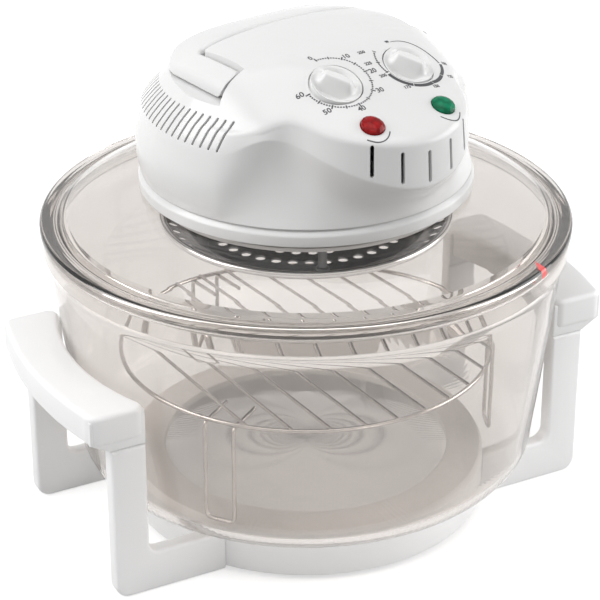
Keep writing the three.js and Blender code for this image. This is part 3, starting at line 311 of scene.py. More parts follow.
def turned_effect():
    """Turned or rolled metal: fine lines round the upright axis."""
    tree, start, end = effect("Turned lines", {"Line size": 2500.0}, ("Lines", "Patches"))
    place = add(tree, "TexCoord").outputs["Object"]
    split = add(tree, "SeparateXYZ", {"Vector": place}).outputs
    flat = add(tree, "CombineXYZ", {"X": split["X"], "Y": split["Y"]})
    reach = add(tree, "VectorMath", {0: flat.outputs["Vector"]}, operation="LENGTH")
    ring = add(tree, "CombineXYZ", {"X": reach.outputs["Value"], "Y": split["Z"]})
    lines = add(tree, "TexNoise", {
        "Vector": ring.outputs["Vector"], "Scale": start.outputs["Line size"], "Detail": 2.0})
    patches = add(tree, "TexNoise", {
        "Vector": place, "Scale": 60.0, "Detail": 5.0, "Roughness": 0.6})
    fill(tree, end, {"Lines": lines.outputs["Fac"], "Patches": patches.outputs["Fac"]})
    return tree


def rib_effect():
    """Fine ribs that run out from the middle of the bowl's floor and fade up its corner."""
    tree, start, end = effect("Floor ribs", {"Ribs": 220.0, "Fade height": 0.06}, ("Height",))
    place = add(tree, "TexCoord").outputs["Object"]
    split = add(tree, "SeparateXYZ", {"Vector": place}).outputs
    angle = calc(tree, "ARCTAN2", split["Y"], split["X"])
    wave = calc(tree, "SINE", calc(tree, "MULTIPLY", angle, start.outputs["Ribs"]))
    fade = ranged(tree, split["Z"], 0.0, 1.0, start.outputs["Fade height"], 0.036)
    fill(tree, end, {"Height": calc(tree, "MULTIPLY", wave, fade)})
    return tree


MOULDED = moulded_effect()
TURNED = turned_effect()
RIBS = rib_effect()


def material(name):
    made = bpy.data.materials.new(name)
    made.use_nodes = True
    return made, made.node_tree, made.node_tree.nodes["Principled BSDF"]


def finish(tree, shader, tone, pale, deep, wear, rough):
    """Base colour between two tones by one mask, roughness between two values by another."""
    colour = add(tree, "Mix", {"Factor": tone, 6: (*pale, 1), 7: (*deep, 1)},
                 data_type="RGBA")
    fill(tree, shader, {"Base Color": colour.outputs[2], "Roughness": ranged(tree, wear, *rough)})


def surface_of(tree, group, **sizes):
    """A shared effect in a material; _ in a size's name stands for a space."""
    sizes = {label.replace("_", " ").capitalize(): value for label, value in sizes.items()}
    return add(tree, "Group", sizes, node_tree=group).outputs


def plastic(name, pale, deep, rough, bump, soft_edge=0.0, grain=1200.0):
    """Moulded plastic with a fine grain; soft_edge rounds its sharp edges in the light."""
    made, tree, shader = material(name)
    surface = surface_of(tree, MOULDED, grain_size=grain)
    finish(tree, shader, surface["Drift"], pale, deep, surface["Smudge"], rough)
    relief = add(tree, "Bump", {
        "Height": surface["Grain"], "Strength": bump, "Distance": 0.2 * MM})
    if soft_edge:
        rim = add(tree, "Bevel", {"Radius": soft_edge * MM}, samples=6)
        fill(tree, relief, {"Normal": rim.outputs["Normal"]})
    fill(tree, shader, {"Normal": relief.outputs["Normal"], "IOR": 1.5})
    return made


def metal(name, pale, deep, rough, bump):
    made, tree, shader = material(name)
    surface = surface_of(tree, TURNED)
    finish(tree, shader, surface["Patches"], pale, deep, surface["Patches"], rough)
    relief = add(tree, "Bump", {
        "Height": surface["Lines"], "Strength": bump, "Distance": 0.1 * MM})
    fill(tree, shader, {"Normal": relief.outputs["Normal"], "Metallic": 1.0})
    return made


def oven_glass():
    """Clear pressed glass with a warm grey tint that deepens with its thickness."""
    made, tree, shader = material("Oven glass")
    surface = surface_of(tree, MOULDED, drift_size=14.0)
    ribs = surface_of(tree, RIBS)
    finish(tree, shader, surface["Drift"], (0.86, 0.842, 0.828), (0.835, 0.816, 0.801),
           surface["Smudge"], (0.0, 0.03))
    ripple = add(tree, "Bump", {
        "Height": surface["Drift"], "Strength": 0.25, "Distance": 0.2 * MM})
    relief = add(tree, "Bump", {
        "Height": ribs["Height"], "Normal": ripple.outputs["Normal"],
        "Strength": 0.5, "Distance": 0.04 * MM})
    fill(tree, shader, {"Normal": relief.outputs["Normal"], "IOR": 1.47,
                        "Transmission Weight": 1.0})
    clear = add(tree, "BsdfTransparent", {"Color": (0.99, 0.99, 0.99, 1)})
    path = add(tree, "LightPath")
    mixed = add(tree, "MixShader", {
        0: path.outputs["Is Shadow Ray"], 1: shader.outputs["BSDF"], 2: clear.outputs["BSDF"]})
    tint = add(tree, "VolumeAbsorption", {
        "Color": (0.44, 0.36, 0.29, 1), "Density": 26.0})
    fill(tree, tree.nodes["Material Output"], {
        "Surface": mixed.outputs["Shader"], "Volume": tint.outputs["Volume"]})
    return made


def lens_glass(name, bright, deep):
    """Coloured plastic, bright in the middle of each small cell and deeper at its edge: painted
    glints of the cut facets.
    """
    made, tree, shader = material(name)
    place = add(tree, "TexCoord").outputs["Object"]
    # Bright cell middles and deeper cell edges in the colour: painted glints.
    painted_glint_cells = add(tree, "TexVoronoi", {"Vector": place, "Scale": 260.0})
    spread = painted_glint_cells.outputs["Distance"]
    finish(tree, shader, spread, bright, deep, spread, (0.05, 0.14))
    fill(tree, shader, {"Specular IOR Level": 0.14})
    return made


def print_ink(name, colour):
    made, tree, shader = material(name)
    surface = surface_of(tree, MOULDED, grain_size=3000.0)
    lighter = tuple(min(1.0, c + 0.03) for c in colour)
    finish(tree, shader, surface["Grain"], colour, lighter, surface["Smudge"], (0.4, 0.55))
    return made


def grey(value, warm=0.0):
    """A grey whose blue is a little lower."""
    return value, value, value - warm


WHITE_GLOSS = plastic("Glossy white plastic", grey(0.735, 0.003), grey(0.71, 0.003),
                      (0.2, 0.23), 0.03, 0.8)
KNOB_GLOSS = plastic("Glossy white plastic of the dials", grey(0.75, 0.005), grey(0.725, 0.005),
                     (0.2, 0.23), 0.02)
WHITE_SATIN = plastic("Satin white plastic", grey(0.89), grey(0.86), (0.42, 0.48), 0.12, 0.6, 900.0)
SILICONE = plastic("Pale silicone", grey(0.78, 0.02), grey(0.68, 0.02), (0.6, 0.75), 0.2)
BLACK = plastic("Black plastic", (0.03, 0.03, 0.032), (0.02, 0.02, 0.022), (0.4, 0.55), 0.2)
CERAMIC = plastic("Unglazed ceramic", (0.80, 0.77, 0.70), (0.70, 0.67, 0.60), (0.65, 0.8), 0.35)
LAMP = plastic("Frosted lamp tube", (0.88, 0.83, 0.76), (0.72, 0.66, 0.58), (0.15, 0.3), 0.05)
CHROME = metal("Bright chrome wire", (0.66, 0.63, 0.61), (0.5, 0.475, 0.455), (0.08, 0.16), 0.02)
# Steel darkened in its colour for the guard's dish and the reflector plate: painted shade, as they
# sit in the head's shadow.
PAINTED_SHADE_STEEL = metal("Steel darkened as painted shade", (0.2, 0.2, 0.205), (0.13, 0.13, 0.135), (0.12, 0.2), 0.04)
BEAD_STEEL = metal("Bright rolled rim", grey(0.86), grey(0.76), (0.12, 0.2), 0.04)
STEEL = metal("Plain steel", (0.62, 0.63, 0.64), (0.48, 0.49, 0.50), (0.25, 0.4), 0.15)
DARK_METAL = metal("Dark heat-proof metal", (0.16, 0.165, 0.17), (0.09, 0.095, 0.1),
                   (0.35, 0.5), 0.15)
GLASS = oven_glass()
RED_LENS = lens_glass("Red lens", (0.40, 0.006, 0.008), (0.14, 0.001, 0.002))
GREEN_LENS = lens_glass("Green lens", (0.003, 0.26, 0.125), (0.0, 0.08, 0.035))
DIAL_INK = print_ink("Dark dial print", (0.03, 0.03, 0.035))
RED_INK = print_ink("Red mark", (0.75, 0.02, 0.02))

FINISH = {
    "white_gloss": WHITE_GLOSS, "white_satin": WHITE_SATIN, "tinted_glass": GLASS, "chrome": CHROME,
    "steel": STEEL, "dark_metal": DARK_METAL, "silicone": SILICONE, "black_plastic": BLACK,
    "ceramic": CERAMIC, "lamp_glass": LAMP, "red_lens": RED_LENS, "green_lens": GREEN_LENS,
}
for part in frame["record"]["subparts"]:
    node = frame["nodes"][part["node"]]
    node.data.materials.clear()
    node.data.materials.append(FINISH[part["material_slot"]])


# ---------------------------------------------------------------- bowl, rack and lid glass

def make_bowl():
    outside = [(0, 33), (143.8, 33, 21), (160.5, 175.2, 30), (163.5, 180.5, 1.5),
               (163.5, 190.7, 1.6)]
    inside = [(156.6, 190.7, 1.4), (156, 175.2, 30), (139.3, 37.5, 16.5), (0, 37.5)]
    bm = lathe(rounded([*outside, *inside], 10), GLASS_STEPS, closed=False)
    piece("bowl", bm, "bowl", "tinted_glass", replaces=["glass_bowl"])


LID_HOLE_R = 86
LID_EDGE_R = 151
LID_GLASS = 4
DOME_Z = 218.3
DOME_FALL = 19.9
DOME_SPAN = 67.6


def dome_z(radius):
    """The height of the lid's upper face, which falls ever faster towards the rim."""
    t = (radius - LID_HOLE_R) / DOME_SPAN
    return DOME_Z - DOME_FALL * (0.55 * t * t + 0.45 * t ** 3)


def make_lid_glass():
    reaches = [lerp(LID_HOLE_R, LID_EDGE_R, i / 16) for i in range(17)]
    top = [(r, dome_z(r)) for r in reaches]
    under = [(r, z - LID_GLASS) for r, z in reversed(top[:-1])]
    rim = [(155.6, 197.2, 3), (158.5, 198, 2), (164.9, 198.0, 2.8), (164.9, 191.0, 2.0),
           (154.6, 191.0, 0.8), (153.6, 187, 1.4), (149.6, 187, 1.4), (148.6, 195.6, 4)]
    bm = lathe(rounded([*top, *rim, *under], 6), GLASS_STEPS)
    piece("lid_glass_dome", bm, "lid", "tinted_glass", replaces=["lid_glass"])


def make_rim_mark():
    """A thin triangle that follows the lid's upper face near its rim."""
    corners, gap, thick = ((84, -130), (86.5, -136.5), (80, -142)), 0.06, 0.05
    mark = bmesh.new()
    mark.faces.new([mark.verts.new(Vector((x, y, 0)) * MM) for x, y in corners])
    bmesh.ops.subdivide_edges(mark, edges=mark.edges[:], cuts=5, use_grid_fill=True)
    for v in mark.verts:
        v.co.z = (dome_z(math.hypot(v.co.x, v.co.y) / MM) + gap) * MM
    bmesh.ops.solidify(mark, geom=mark.faces[:], thickness=thick * MM)
    piece("rim_mark", outward(mark), "lid", "red_lens", RED_INK)


def bent(corners, radius, steps=6):
    """A wire's corners with each inner one bent to a radius."""
    points = [Vector(corners[0])]
    for before, here, after in zip(corners, corners[1:], corners[2:]):
        here = Vector(here)
        start = here + (Vector(before) - here).normalized() * radius
        end = here + (Vector(after) - here).normalized() * radius
        for k in range(steps + 1):
            t = k / steps
            points.append(start * (1 - t) ** 2 + here * 2 * t * (1 - t) + end * t * t)
    return [*points, Vector(corners[-1])]


def make_rack():
    reach, ring_z, cross_z = 118, 107.3, 108.6
    cross_count, pitch = 10, 20
    turn = Matrix.Rotation(math.radians(4.5), 3, "Z")
    cross = []
    for i in range(cross_count):
        x = (i - (cross_count - 1) / 2) * pitch
        half = math.sqrt(reach ** 2 - x * x)
        cross.append([turn @ Vector((x, y, cross_z)) for y in (-half, 0, half)])
    leg_in, leg_out, half, top, foot = 92, 119.7, 9.5, 105.6, 39.5
    corners = [(leg_in, -half, top), (leg_out, -half, top), (leg_out, -half, foot),
               (leg_out, half, foot), (leg_out, half, top), (leg_in, half, top)]
    legs = []
    for angle in (97, 217, 337):
        swing = Matrix.Rotation(math.radians(angle), 3, "Z")
        legs.append([swing @ p for p in bent(corners, 5)])
    parts = [wires([circle(reach, ring_z)], 1.4, closed=True), wires(cross, 1.1), wires(legs, 1.3)]
    piece("wire_rack", gathered(parts), "rack", "chrome", replaces=["rack"], sharp=60)


# ---------------------------------------------------------------- stand

def make_stand():
    """The seat ring with a notch for each leg, the four legs and the two grips."""
    ring = [(92, 27.3, 0.8), (112, 27.3, 1.5), (112, 2.6, 0.6), (116, 2.6, 0.6), (116, 28.2, 1.5),
            (113.6, 32.7, 1.2), (92, 32.7, 0.8)]
    notches = [moved(block((77, 61.3, -2), (125, 68.5, 27.4)), mirror(x, y))
               for x in (-1, 1) for y in (-1, 1)]
    bm = combined(lathe(rounded(ring, 4), RING_STEPS), gathered(notches))
    piece("seat_band", bm, "stand", "white_satin", replaces=["seat_ring"])

    arm = [(85.2, 0), (165, 0, 9), (165, 103.6), (142.5, 103.6), (142.5, 27, 7), (85.2, 27)]
    thick, outer_face, ring_gap_r = 10.8, 70.3, 116.3
    upright = shift(0, outer_face, 0) @ turn_by(90, "X")
    for side_x, across in ((-1, "left"), (1, "right")):
        for side_y, place in ((-1, "front"), (1, "back")):
            leg = moved(prism(arm, 0, thick, 2.4, 4, 8), upright)
            leg = combined(leg, drum(ring_gap_r, -5, 60, RING_STEPS))
            tongue = block((79.5, 61.7, 3.2), (112, 68.1, 26.9))
            leg = moved(gathered([leg, tongue]), mirror(side_x, side_y))
            piece(f"leg_frame_{place}_{across}", leg, "stand", "white_satin",
                  replaces=[f"leg_{place}_{across}"])
    for side, across in ((-1, "left"), (1, "right")):
        piece(f"stand_grip_{across}", moved(grip_body(), mirror(side)), "stand",
              "white_satin", replaces=[f"grip_{across}"])


def grip_body():
    """A curved bar, its outer arc flatter than its inner one, with a pad under each end."""
    half, inner, outer_x, outer = 71.6, 156.5, 186.0, 270.0
    straight, steps = 9, 24
    centre = outer_x - outer
    inner_end = math.asin((half - straight) / inner)
    outer_end = math.asin((half - straight) / outer)
    outline = []
    for i in range(steps + 1):
        a = inner_end - 2 * inner_end * i / steps
        outline.append((inner * math.cos(a), inner * math.sin(a)))
    corner_x = centre + outer * math.cos(outer_end)
    inner_x = inner * math.cos(inner_end) - 3
    outline += [(inner_x, -half, 6.5), (corner_x, -half, 8)]
    for i in range(steps + 1):
        a = -outer_end + 2 * outer_end * i / steps
        outline.append((centre + outer * math.cos(a), outer * math.sin(a)))
    outline += [(corner_x, half, 8), (inner_x, half, 6.5)]
    bar = prism(outline, 109.4, 129.4, 3.2, 5, 7)
    pad = [(142.5, 103.9), (165, 103.9), (177.5, 110.6), (177.5, 126), (142.5, 126)]
    for side in (-1, 1):
        end = moved(prism(pad, 59.5, 69.9, 0.8, 2), turn_by(90, "X"))
        bar = combined(bar, moved(end, mirror(1, -side)), "UNION")
    return bar


# ---------------------------------------------------------------- head shell

# The head's profile, row by row: height, radius and forward shift, as shares of HEAD_H and HEAD_R.
HEIGHTS = (0, 0.12, 0.28, 0.46, 0.57, 0.655, 0.787, 0.845, 0.902, 0.949, 0.994, 1.0)
RADII = (0.979, 0.996, 1, 0.967, 0.924, 0.878, 0.798, 0.75, 0.673, 0.558, 0.288, 0)
SHIFTS = (0, 0, 0, 0.002, 0.028, 0.052, 0.106, 0.125, 0.135, 0.135, 0.115, 0)
SHOULDER = RADII[5]
TOP_ROW = 11

# Rows of the nose: its ledge is rounded between the first two, its wall ends at the third, and the
# round edge of the panel ends at the fourth.
LEDGE_LOW, LEDGE_HIGH, WALL_ROW, PANEL_ROW = 2.86, 3.06, 4, 5.2
NOSE_R = 61.4
NOSE_FORWARD = 57.5
WALL_INSET = 1.7


def along(values, at):
    """The value at a fractional place in a row of values, on a smooth curve through them."""
    i = min(int(at), len(values) - 2)
    t = at - i
    a, b, c = values[max(i - 1, 0)], values[i], values[i + 1]
    d = values[min(i + 2, len(values) - 1)]
    square = (2 * a - 5 * b + 4 * c - d) * t * t
    return 0.5 * (2 * b + (c - a) * t + square + (3 * b - a - 3 * c + d) * t ** 3)


def panel_z(forward, side):
    """The height of the tilted panel above the head's foot; it falls off towards its sides."""
    return 77 - (forward - 65) * math.tan(PANEL_TILT) - 12 * (abs(side) / 60) ** 3


def ledge_z(degrees):
    return 24.4 + 27 * smooth(degrees / 50)


def soft_lower(a, b, blend=2.2):
    """The lower of two heights, with a soft change from one to the other."""
    return min(a, b) - blend * math.log(1 + math.exp(-abs(a - b) / blend))


def turn_between(start, corner, end, t):
    """A point of the curve from start to end that bends towards a corner."""
    shares = (1 - t) ** 2, 2 * t * (1 - t), t * t
    return tuple(sum(v * share for v, share in zip(values, shares))
                 for values in zip(start, corner, end))


def crown_point(angle, row, front, crest):
    """A point above the shoulder: the head's own round, or over the nose, its panel."""
    share = along(RADII, row) / SHOULDER
    round_r = HEAD_R * (along(RADII, row) + along(SHIFTS, row) * math.cos(angle))
    r = lerp(round_r, (crest - 5.44) * share, front)
    raised = lerp(HEAD_H * along(HEIGHTS, row), HEAD_H, front * smooth(2 * share - 0.4))
    return r, soft_lower(raised, panel_z(r * math.cos(angle), r * math.sin(angle)))


def shell_point(angle, row, depth=0.0):
    """The skin's point at an angle from the front, a profile row and a depth."""
    degrees = abs(math.degrees(angle))
    front = 1 - smooth((degrees - 50) / 18)
    across = NOSE_FORWARD * math.sin(angle)
    reach = NOSE_FORWARD * math.cos(angle) + math.sqrt(NOSE_R ** 2 - across ** 2)
    crest = lerp(reach, 0.925 * HEAD_R, smooth((degrees - 30) / 24))
    if row > PANEL_ROW:
        r, z = crown_point(angle, row, front, crest)
        return turned_point(angle, r - depth * along(RADII, row) / SHOULDER, z - depth)
    ledge = ledge_z(degrees)
    wall = crest - WALL_INSET
    level = panel_z(wall * math.cos(angle), wall * math.sin(angle))
    top = max(level - 3.4, ledge + 3.4)

    def under(at):
        t = at / 3
        return lerp(RADII[0] * HEAD_R, crest, t) - 4.5 * math.sin(math.pi * t), lerp(0, ledge, t)

    def upright(at):
        return lerp(crest, wall, at - 3), lerp(ledge, top, at - 3)

    if row <= LEDGE_LOW:
        front_r, front_z = under(row)
    elif row < LEDGE_HIGH:
        t = (row - LEDGE_LOW) / 0.2
        front_r, front_z = turn_between(under(LEDGE_LOW), (crest, ledge), upright(LEDGE_HIGH), t)
    elif row <= WALL_ROW:
        front_r, front_z = upright(row)
    else:
        panel = crown_point(angle, PANEL_ROW, front, crest)
        corner, t = (wall, max(level, top)), (row - WALL_ROW) / 1.2
        front_r, front_z = turn_between(upright(WALL_ROW), corner, panel, t)
    body_r = HEAD_R * (along(RADII, row) + along(SHIFTS, row) * math.cos(angle))
    body_z = HEAD_H * along(HEIGHTS, row)
    lowered = soft_lower(body_z, panel_z(body_r * math.cos(angle), body_r * math.sin(angle)))
    body_z = lerp(body_z, lowered, smooth((row - 4.2) / 1.0))
    r = lerp(body_r, front_r, front) - depth
    z = lerp(body_z, front_z, front) - depth * smooth(row - 4)
    return turned_point(angle, r, z)


def turned_point(angle, r, z):
    """A point of the head from its angle, reach and height above the head's foot."""
    return Vector((r * math.sin(angle), -r * math.cos(angle), HEAD_Z + z))


def shell_body(rows, steps, depth=0.0, foot=0.0):
    """A drum with an edge at each row, whose points are then set onto the head's skin."""
    bm = lathe([(0, 0), *((100, row) for row in rows), (0, TOP_ROW)], steps, closed=False)
    for v in bm.verts:
        row = v.co.z / MM
        if math.hypot(v.co.x, v.co.y) < 1e-6:
            low = Vector((0, 0, HEAD_Z - foot))
            place = low if row < 1 else shell_point(0, TOP_ROW, depth)
        else:
            place = shell_point(math.atan2(v.co.x, -v.co.y), row, depth)
            if row < 1e-6:
                place.z = HEAD_Z - foot
        v.co = place * MM
    return outward(bm)


def fine_rows():
    """The skin's rows, closest where the ledge and the panel's edge turn."""
    rows = []
    for low, high, count in ((0, LEDGE_LOW, 16), (LEDGE_LOW, LEDGE_HIGH, 6),
                             (LEDGE_HIGH, WALL_ROW, 10), (WALL_ROW, PANEL_ROW, 9),
                             (PANEL_ROW, 10, 34), (10, TOP_ROW, 7)):
        rows += [lerp(low, high, i / count) for i in range(count)]
    return rows


def handle_recess(play=0.0):
    """The handle's trough with its finger scoop, or the wall under them, play thick."""
    front, middle, back, lobe = 23.3, 61.6, 19.2, 8.76
    far, above = 208.0, 420
    sweep = [turn_between((middle + lobe, -front - play), (77 + lobe / 2, -front - play),
                          (77 + lobe, -front - lobe - play), k / 8) for k in range(9)]
    right = [(middle - play, -front - play), *sweep, (far, -front - lobe - play), (far, far)]
    left = [(-x, y) for x, y in reversed(right)]
    rear = [(play - middle, back - play, 3), (middle - play, back - play, 3)]
    trough = prism([*right, *left, *rear], HANDLE_Z - 0.8 - play, above, 0, 1, 6)
    half, scoop_front, scoop_drop = 40, 22, 15
    scoop = block((-half - play, scoop_front - play, HANDLE_Z - scoop_drop - play),
                  (half + play, far, above))
    return combined(trough, scoop, "UNION")


def on_panel(forward, side):
    """Where a piece modelled upright about the origin stands on the tilted panel."""
    place = Vector((side, -forward, HEAD_Z + panel_z(forward, 0))) * MM
    return Matrix.Translation(place) @ Matrix.Rotation(PANEL_TILT, 4, "X")


# Places on the panel, as forward and aside.
DIALS = ((65, -26.5), (65, 26.5))
LENSES = ((98, -25.8), (98, 25.8))
WELL_R = 16.0


def panel_cuts(grow=0.0):
    """The dial wells and lens holes, or the room under them that leaves a wall of grow."""
    cuts = []
    for place in DIALS:
        if grow:
            well = drum(17.3 + grow, -4 - grow, 14, 64)
        else:
            profile = [(0, -4), (WELL_R, -4), (WELL_R, -0.3), (WELL_R + 0.6, 0.3),
                       (17.4, 14), (0, 14)]
            well = lathe(profile, 72, closed=False)
        cuts.append(moved(well, on_panel(*place)))
    for place in LENSES:
        cuts.append(moved(drum(7.3 + grow, -2.6 if grow else -7.8, 6, 40), on_panel(*place)))
    return cuts


def slot_tool(half, low, high):
    """The tool for an upright slot with round ends, which cuts along the Y axis."""
    corners = ((-half, low), (half, low), (half, high), (-half, high))
    outline = [(x, z, half - 0.05) for x, z in corners]
    return moved(prism(outline, -5.2, 5.2, 0, 1, 3), turn_by(90, "X"))


def slot_cuts():
    """Five slots round the nose, each standing just above the ledge."""
    cuts = []
    for k in (-2, -1, 0, 1, 2):
        angle = math.radians(17 * k)
        side, forward = NOSE_R * math.sin(angle), NOSE_FORWARD + NOSE_R * math.cos(angle)
        low = HEAD_Z + 3 + ledge_z(math.degrees(abs(math.atan2(side, forward))))
        place = shift(side, -forward, 0) @ Matrix.Rotation(angle, 4, "Z")
        cuts.append(moved(slot_tool(1.1, low, low + 19), place))
    return cuts


def vent_cuts():
    cuts = []
    for i in range(20):
        place = (turn_by(65.5 + i * 3.45) @ shift(0, -95, HEAD_Z + 50)
                 @ turn_by(-42, "X") @ turn_by(-19, "Y"))
        for side in (-1, 1):
            cuts.append(moved(slot_tool(0.7, -10, 10), mirror(side) @ place))
    return cuts


def make_head_shell():
    """The skin with its cuts, less a hollow that leaves a wall; gives its surface."""
    skin = shell_body(fine_rows(), 288)
    skin = combined(skin, handle_recess())
    skin = combined(skin, gathered(panel_cuts()))
    rows = [lerp(0, 10.9, i / 44) for i in range(44)]
    hollow = shell_body(rows, 144, SHELL_WALL, 3)
    for cut in (handle_recess(SHELL_WALL), *panel_cuts(SHELL_WALL)):
        hollow = combined(hollow, cut)
    shell = combined(skin, hollow)
    stems = [moved(drum(3.3, -11, 0, 32), on_panel(*place)) for place in DIALS]
    gland = moved(drum(6.3, 52, 208, 40), shift(0, 0, HEAD_Z + 17) @ turn_by(-90, "X"))
    shell = combined(shell, gathered([*slot_cuts(), *vent_cuts(), *stems, gland]))
    surface = BVHTree.FromBMesh(shell)
    piece("head_housing", moved(shell, HEAD_TURN), "lid", "white_gloss",
          replaces=["head_shell"], sharp=28)
    return surface


def make_head_ring():
    profile = [(78, 213.1, 0.5), (84, 213.1, 0.5), (84, 218.9), (103.2, 218.9, 0.8),
               (103.2, 225.6, 2.2), (99.8, 229.2, 1.2), (96.6, 229.2, 0.4),
                (96.6, 222.3), (78, 222.3)]
    piece("head_collar", lathe(rounded(profile, 5), GLASS_STEPS), "lid", "white_gloss",
          replaces=["head_ring"])


# ---------------------------------------------------------------- carry handle

def handle_crown(x, y):
    behind = max(y + PIVOT[0], 0) / (52 + PIVOT[0])
    return 316.5 - 15 * (abs(x) / 77) ** 3.7 - 7.7 * behind ** 2.5


# Where the left arm ends and where its bend into the bar ends, as shares of the bail's length.
ARM_END = 0.22
BEND_END = 0.36


def bail_edge(s, side, bend, back):
    """One edge of the bail's left half: its arm side from the middle, its bend, its bar at back."""
    tip = -22.5
    if s < ARM_END:
        return -side, lerp(tip, back - bend, s / ARM_END)
    if s < BEND_END:
        a = (s - ARM_END) / 0.14 * math.pi / 2
        return bend - side - bend * math.cos(a), back - bend + bend * math.sin(a)
    return lerp(bend - side, 0, (s - BEND_END) / 0.14), back


def bail_edges(s):
    """The bail's inner and outer edge at a share s of its length, left to right."""
    half = min(s, 1 - s)
    edges = bail_edge(half, 62.4, 4, 22), bail_edge(half, 77, 26, 52)
    return [(-x if s > 0.5 else x, y) for x, y in edges]


def make_handle():
    """A rounded section carried along the bail's path, its top on the head's own curve."""
    stations = 96
    foot_share, foot = 0.18, 1.2
    flat_share, edge_round = 0.6, 3.6
    side_share = 1 - flat_share
    section = rounded([(-1, 0, foot_share), (1, 0, foot_share), (1, 1, side_share),
                       (-1, 1, side_share)], 7)
    bm = bmesh.new()
    face = bm.faces.new([bm.verts.new((a, 0, v)) for a, v in section])
    bmesh.ops.spin(bm, geom=[face, *face.edges, *face.verts], cent=(0, 0, 0), axis=(0, 0, 1),
                   dvec=(0, 1, 0), angle=0, steps=stations)
    bmesh.ops.remove_doubles(bm, verts=bm.verts[:], dist=1e-6)
    for v in bm.verts:
        a, share = v.co.x, v.co.z
        inner, outer = (Vector(p) for p in bail_edges(round(v.co.y) / stations))
        width = (outer - inner).length
        edge = (outer - inner) / width * ((1 - abs(a)) / 0.4 * edge_round)
        flat = inner + edge if a < 0 else outer - edge
        if abs(a) < flat_share:
            flat = inner.lerp(outer, 0.5 + a / (2 * flat_share) * (1 - 2 * edge_round / width))
        top = handle_crown(flat.x, flat.y)
        if share > flat_share:
            z = top - (1 - share) / 0.4 * edge_round
        elif share < foot_share:
            z = HANDLE_Z + share / foot_share * foot
        else:
            z = lerp(HANDLE_Z + foot, top - edge_round, (share - foot_share) / 0.42)
        v.co = Vector((flat.x, flat.y, z)) * MM
    for v in bm.verts:
        if v.co.y < -PIVOT[0] * MM:
            y, z = v.co.y / MM + PIVOT[0], v.co.z / MM - PIVOT[1]
            shrink = min(1, HANDLE_END_R / math.hypot(y, z))
            v.co.y, v.co.z = (y * shrink - PIVOT[0]) * MM, (z * shrink + PIVOT[1]) * MM
    outward(bm)
    hole = moved(drum(1.88, -80, 80, 32), shift(0, -PIVOT[0], PIVOT[1]) @ turn_by(90, "Y"))
    inside = block((-69.4, -30, 290), (69.4, 0, 320))
    bm = combined(bm, combined(hole, inside, "INTERSECT"))
    piece("bail_handle", moved(bm, HEAD_TURN), "handle", "white_gloss",
          replaces=["carry_handle"], sharp=40)


# ---------------------------------------------------------------- dials, lenses and their print

DIAL_R = 15.4
PRINT_GAP = 0.05
PRINT_THICK = 0.06

def make_knob(name, node, place, body):
    """A disc whose face is sunk to a basin, from which a broad rounded grip bar rises."""
    rings = [(DIAL_R * i / 40, 0) for i in range(40)]
    skirt = [(DIAL_R - 0.1, 0), (DIAL_R, -0.9), (DIAL_R, -5.2), (DIAL_R - 0.8, -6.2),
             (DIAL_R - 4, -6.3), (0, -6.3)]
    bm = lathe([*rings, *skirt], 120, closed=False)
    for v in bm.verts:
        if v.co.z < -0.5 * MM:
            continue
        u, w = v.co.x / MM, v.co.y / MM
        reach = math.hypot(u, w) / DIAL_R
        basin = -4.6 + 4.2 * smooth((reach - 0.6) / 0.38)
        width = lerp(1.8, 1.2, smooth(abs(u) / 14))
        bar = (1 - smooth((abs(w) - width) / 7.2)) * (1 - smooth((abs(u) - 7.0) / 7.5))
        crest = 5.6 - 1.6 * (u / DIAL_R) ** 2
        v.co.z = (lerp(basin, crest, bar) - 0.5 * (abs(w) / 4) ** 2 * bar) * MM
    bm = gathered([bm, drum(3, -10, -6.0, 32)])
    moved(bm, turn_by(-52))
    moved(bm, HEAD_TURN @ on_panel(*place))
    piece(name, bm, body, "white_gloss", KNOB_GLOSS, replaces=[node], sharp=40)


def make_lens(name, slot, place):
    """A cut lens: a flat middle, rings of facets, each turned half a step, and a plain rim."""
    sides, foot, facet_z, top_z = 16, -2.6, 1.9, 2.2
    profile = [(0, foot), (7.0, foot), (7.0, 0.5), (6.4, 1.0), (4.6, facet_z), (2.2, top_z),
               (0, top_z)]
    bm = lathe(profile, sides, closed=False)
    half_step = Matrix.Rotation(FULL_TURN / sides / 2, 3, "Z")
    for v in bm.verts:
        if v.co.z > (facet_z - 0.1) * MM:
            v.co = half_step @ v.co
    moved(bm, HEAD_TURN @ on_panel(*place))
    piece(name, bm, "lid", slot, replaces=[slot], sharp=3)


def laid_on(bm, surface, place):
    """Print modelled flat about a dial's middle, dropped onto the panel."""
    stand = on_panel(*place)
    turn = stand.to_3x3()
    down = turn @ Vector((0, 0, -1))
    for v in bm.verts:
        start = stand @ Vector((v.co.x, v.co.y, 30 * MM))
        hit = surface.ray_cast(start, down, 60 * MM)[0]
        base = hit if hit is not None else stand @ Vector((v.co.x, v.co.y, 0))
        v.co = base - down * (PRINT_GAP * MM + v.co.z)
    return bm


def flat_bar(points):
    bm = bmesh.new()
    bm.faces.new([bm.verts.new((x * MM, y * MM, 0)) for x, y in points])
    grown = bmesh.ops.extrude_face_region(bm, geom=bm.faces[:])["geom"]
    top = [v for v in grown if isinstance(v, bmesh.types.BMVert)]
    bmesh.ops.translate(bm, verts=top, vec=(0, 0, PRINT_THICK * MM))
    return outward(bm)


def ring_spot(radius, degrees):
    """A place on a circle, the angle clockwise from the top."""
    a = math.radians(degrees)
    return radius * math.sin(a), radius * math.cos(a)


def arc_band(radii, widths, start, end):
    """A band round a dial whose radius and width change from its start to its end."""
    count = max(2, int(abs(end - start) / 4))
    parts = []
    for i in range(count):
        corners = []
        for j, side in ((i, -1), (i + 1, -1), (i + 1, 1), (i, 1)):
            t = j / count
            radius = lerp(*radii, t) + side * lerp(*widths, t) / 2
            corners.append(ring_spot(radius, lerp(start, end, t)))
        parts.append(flat_bar(corners))
    return parts


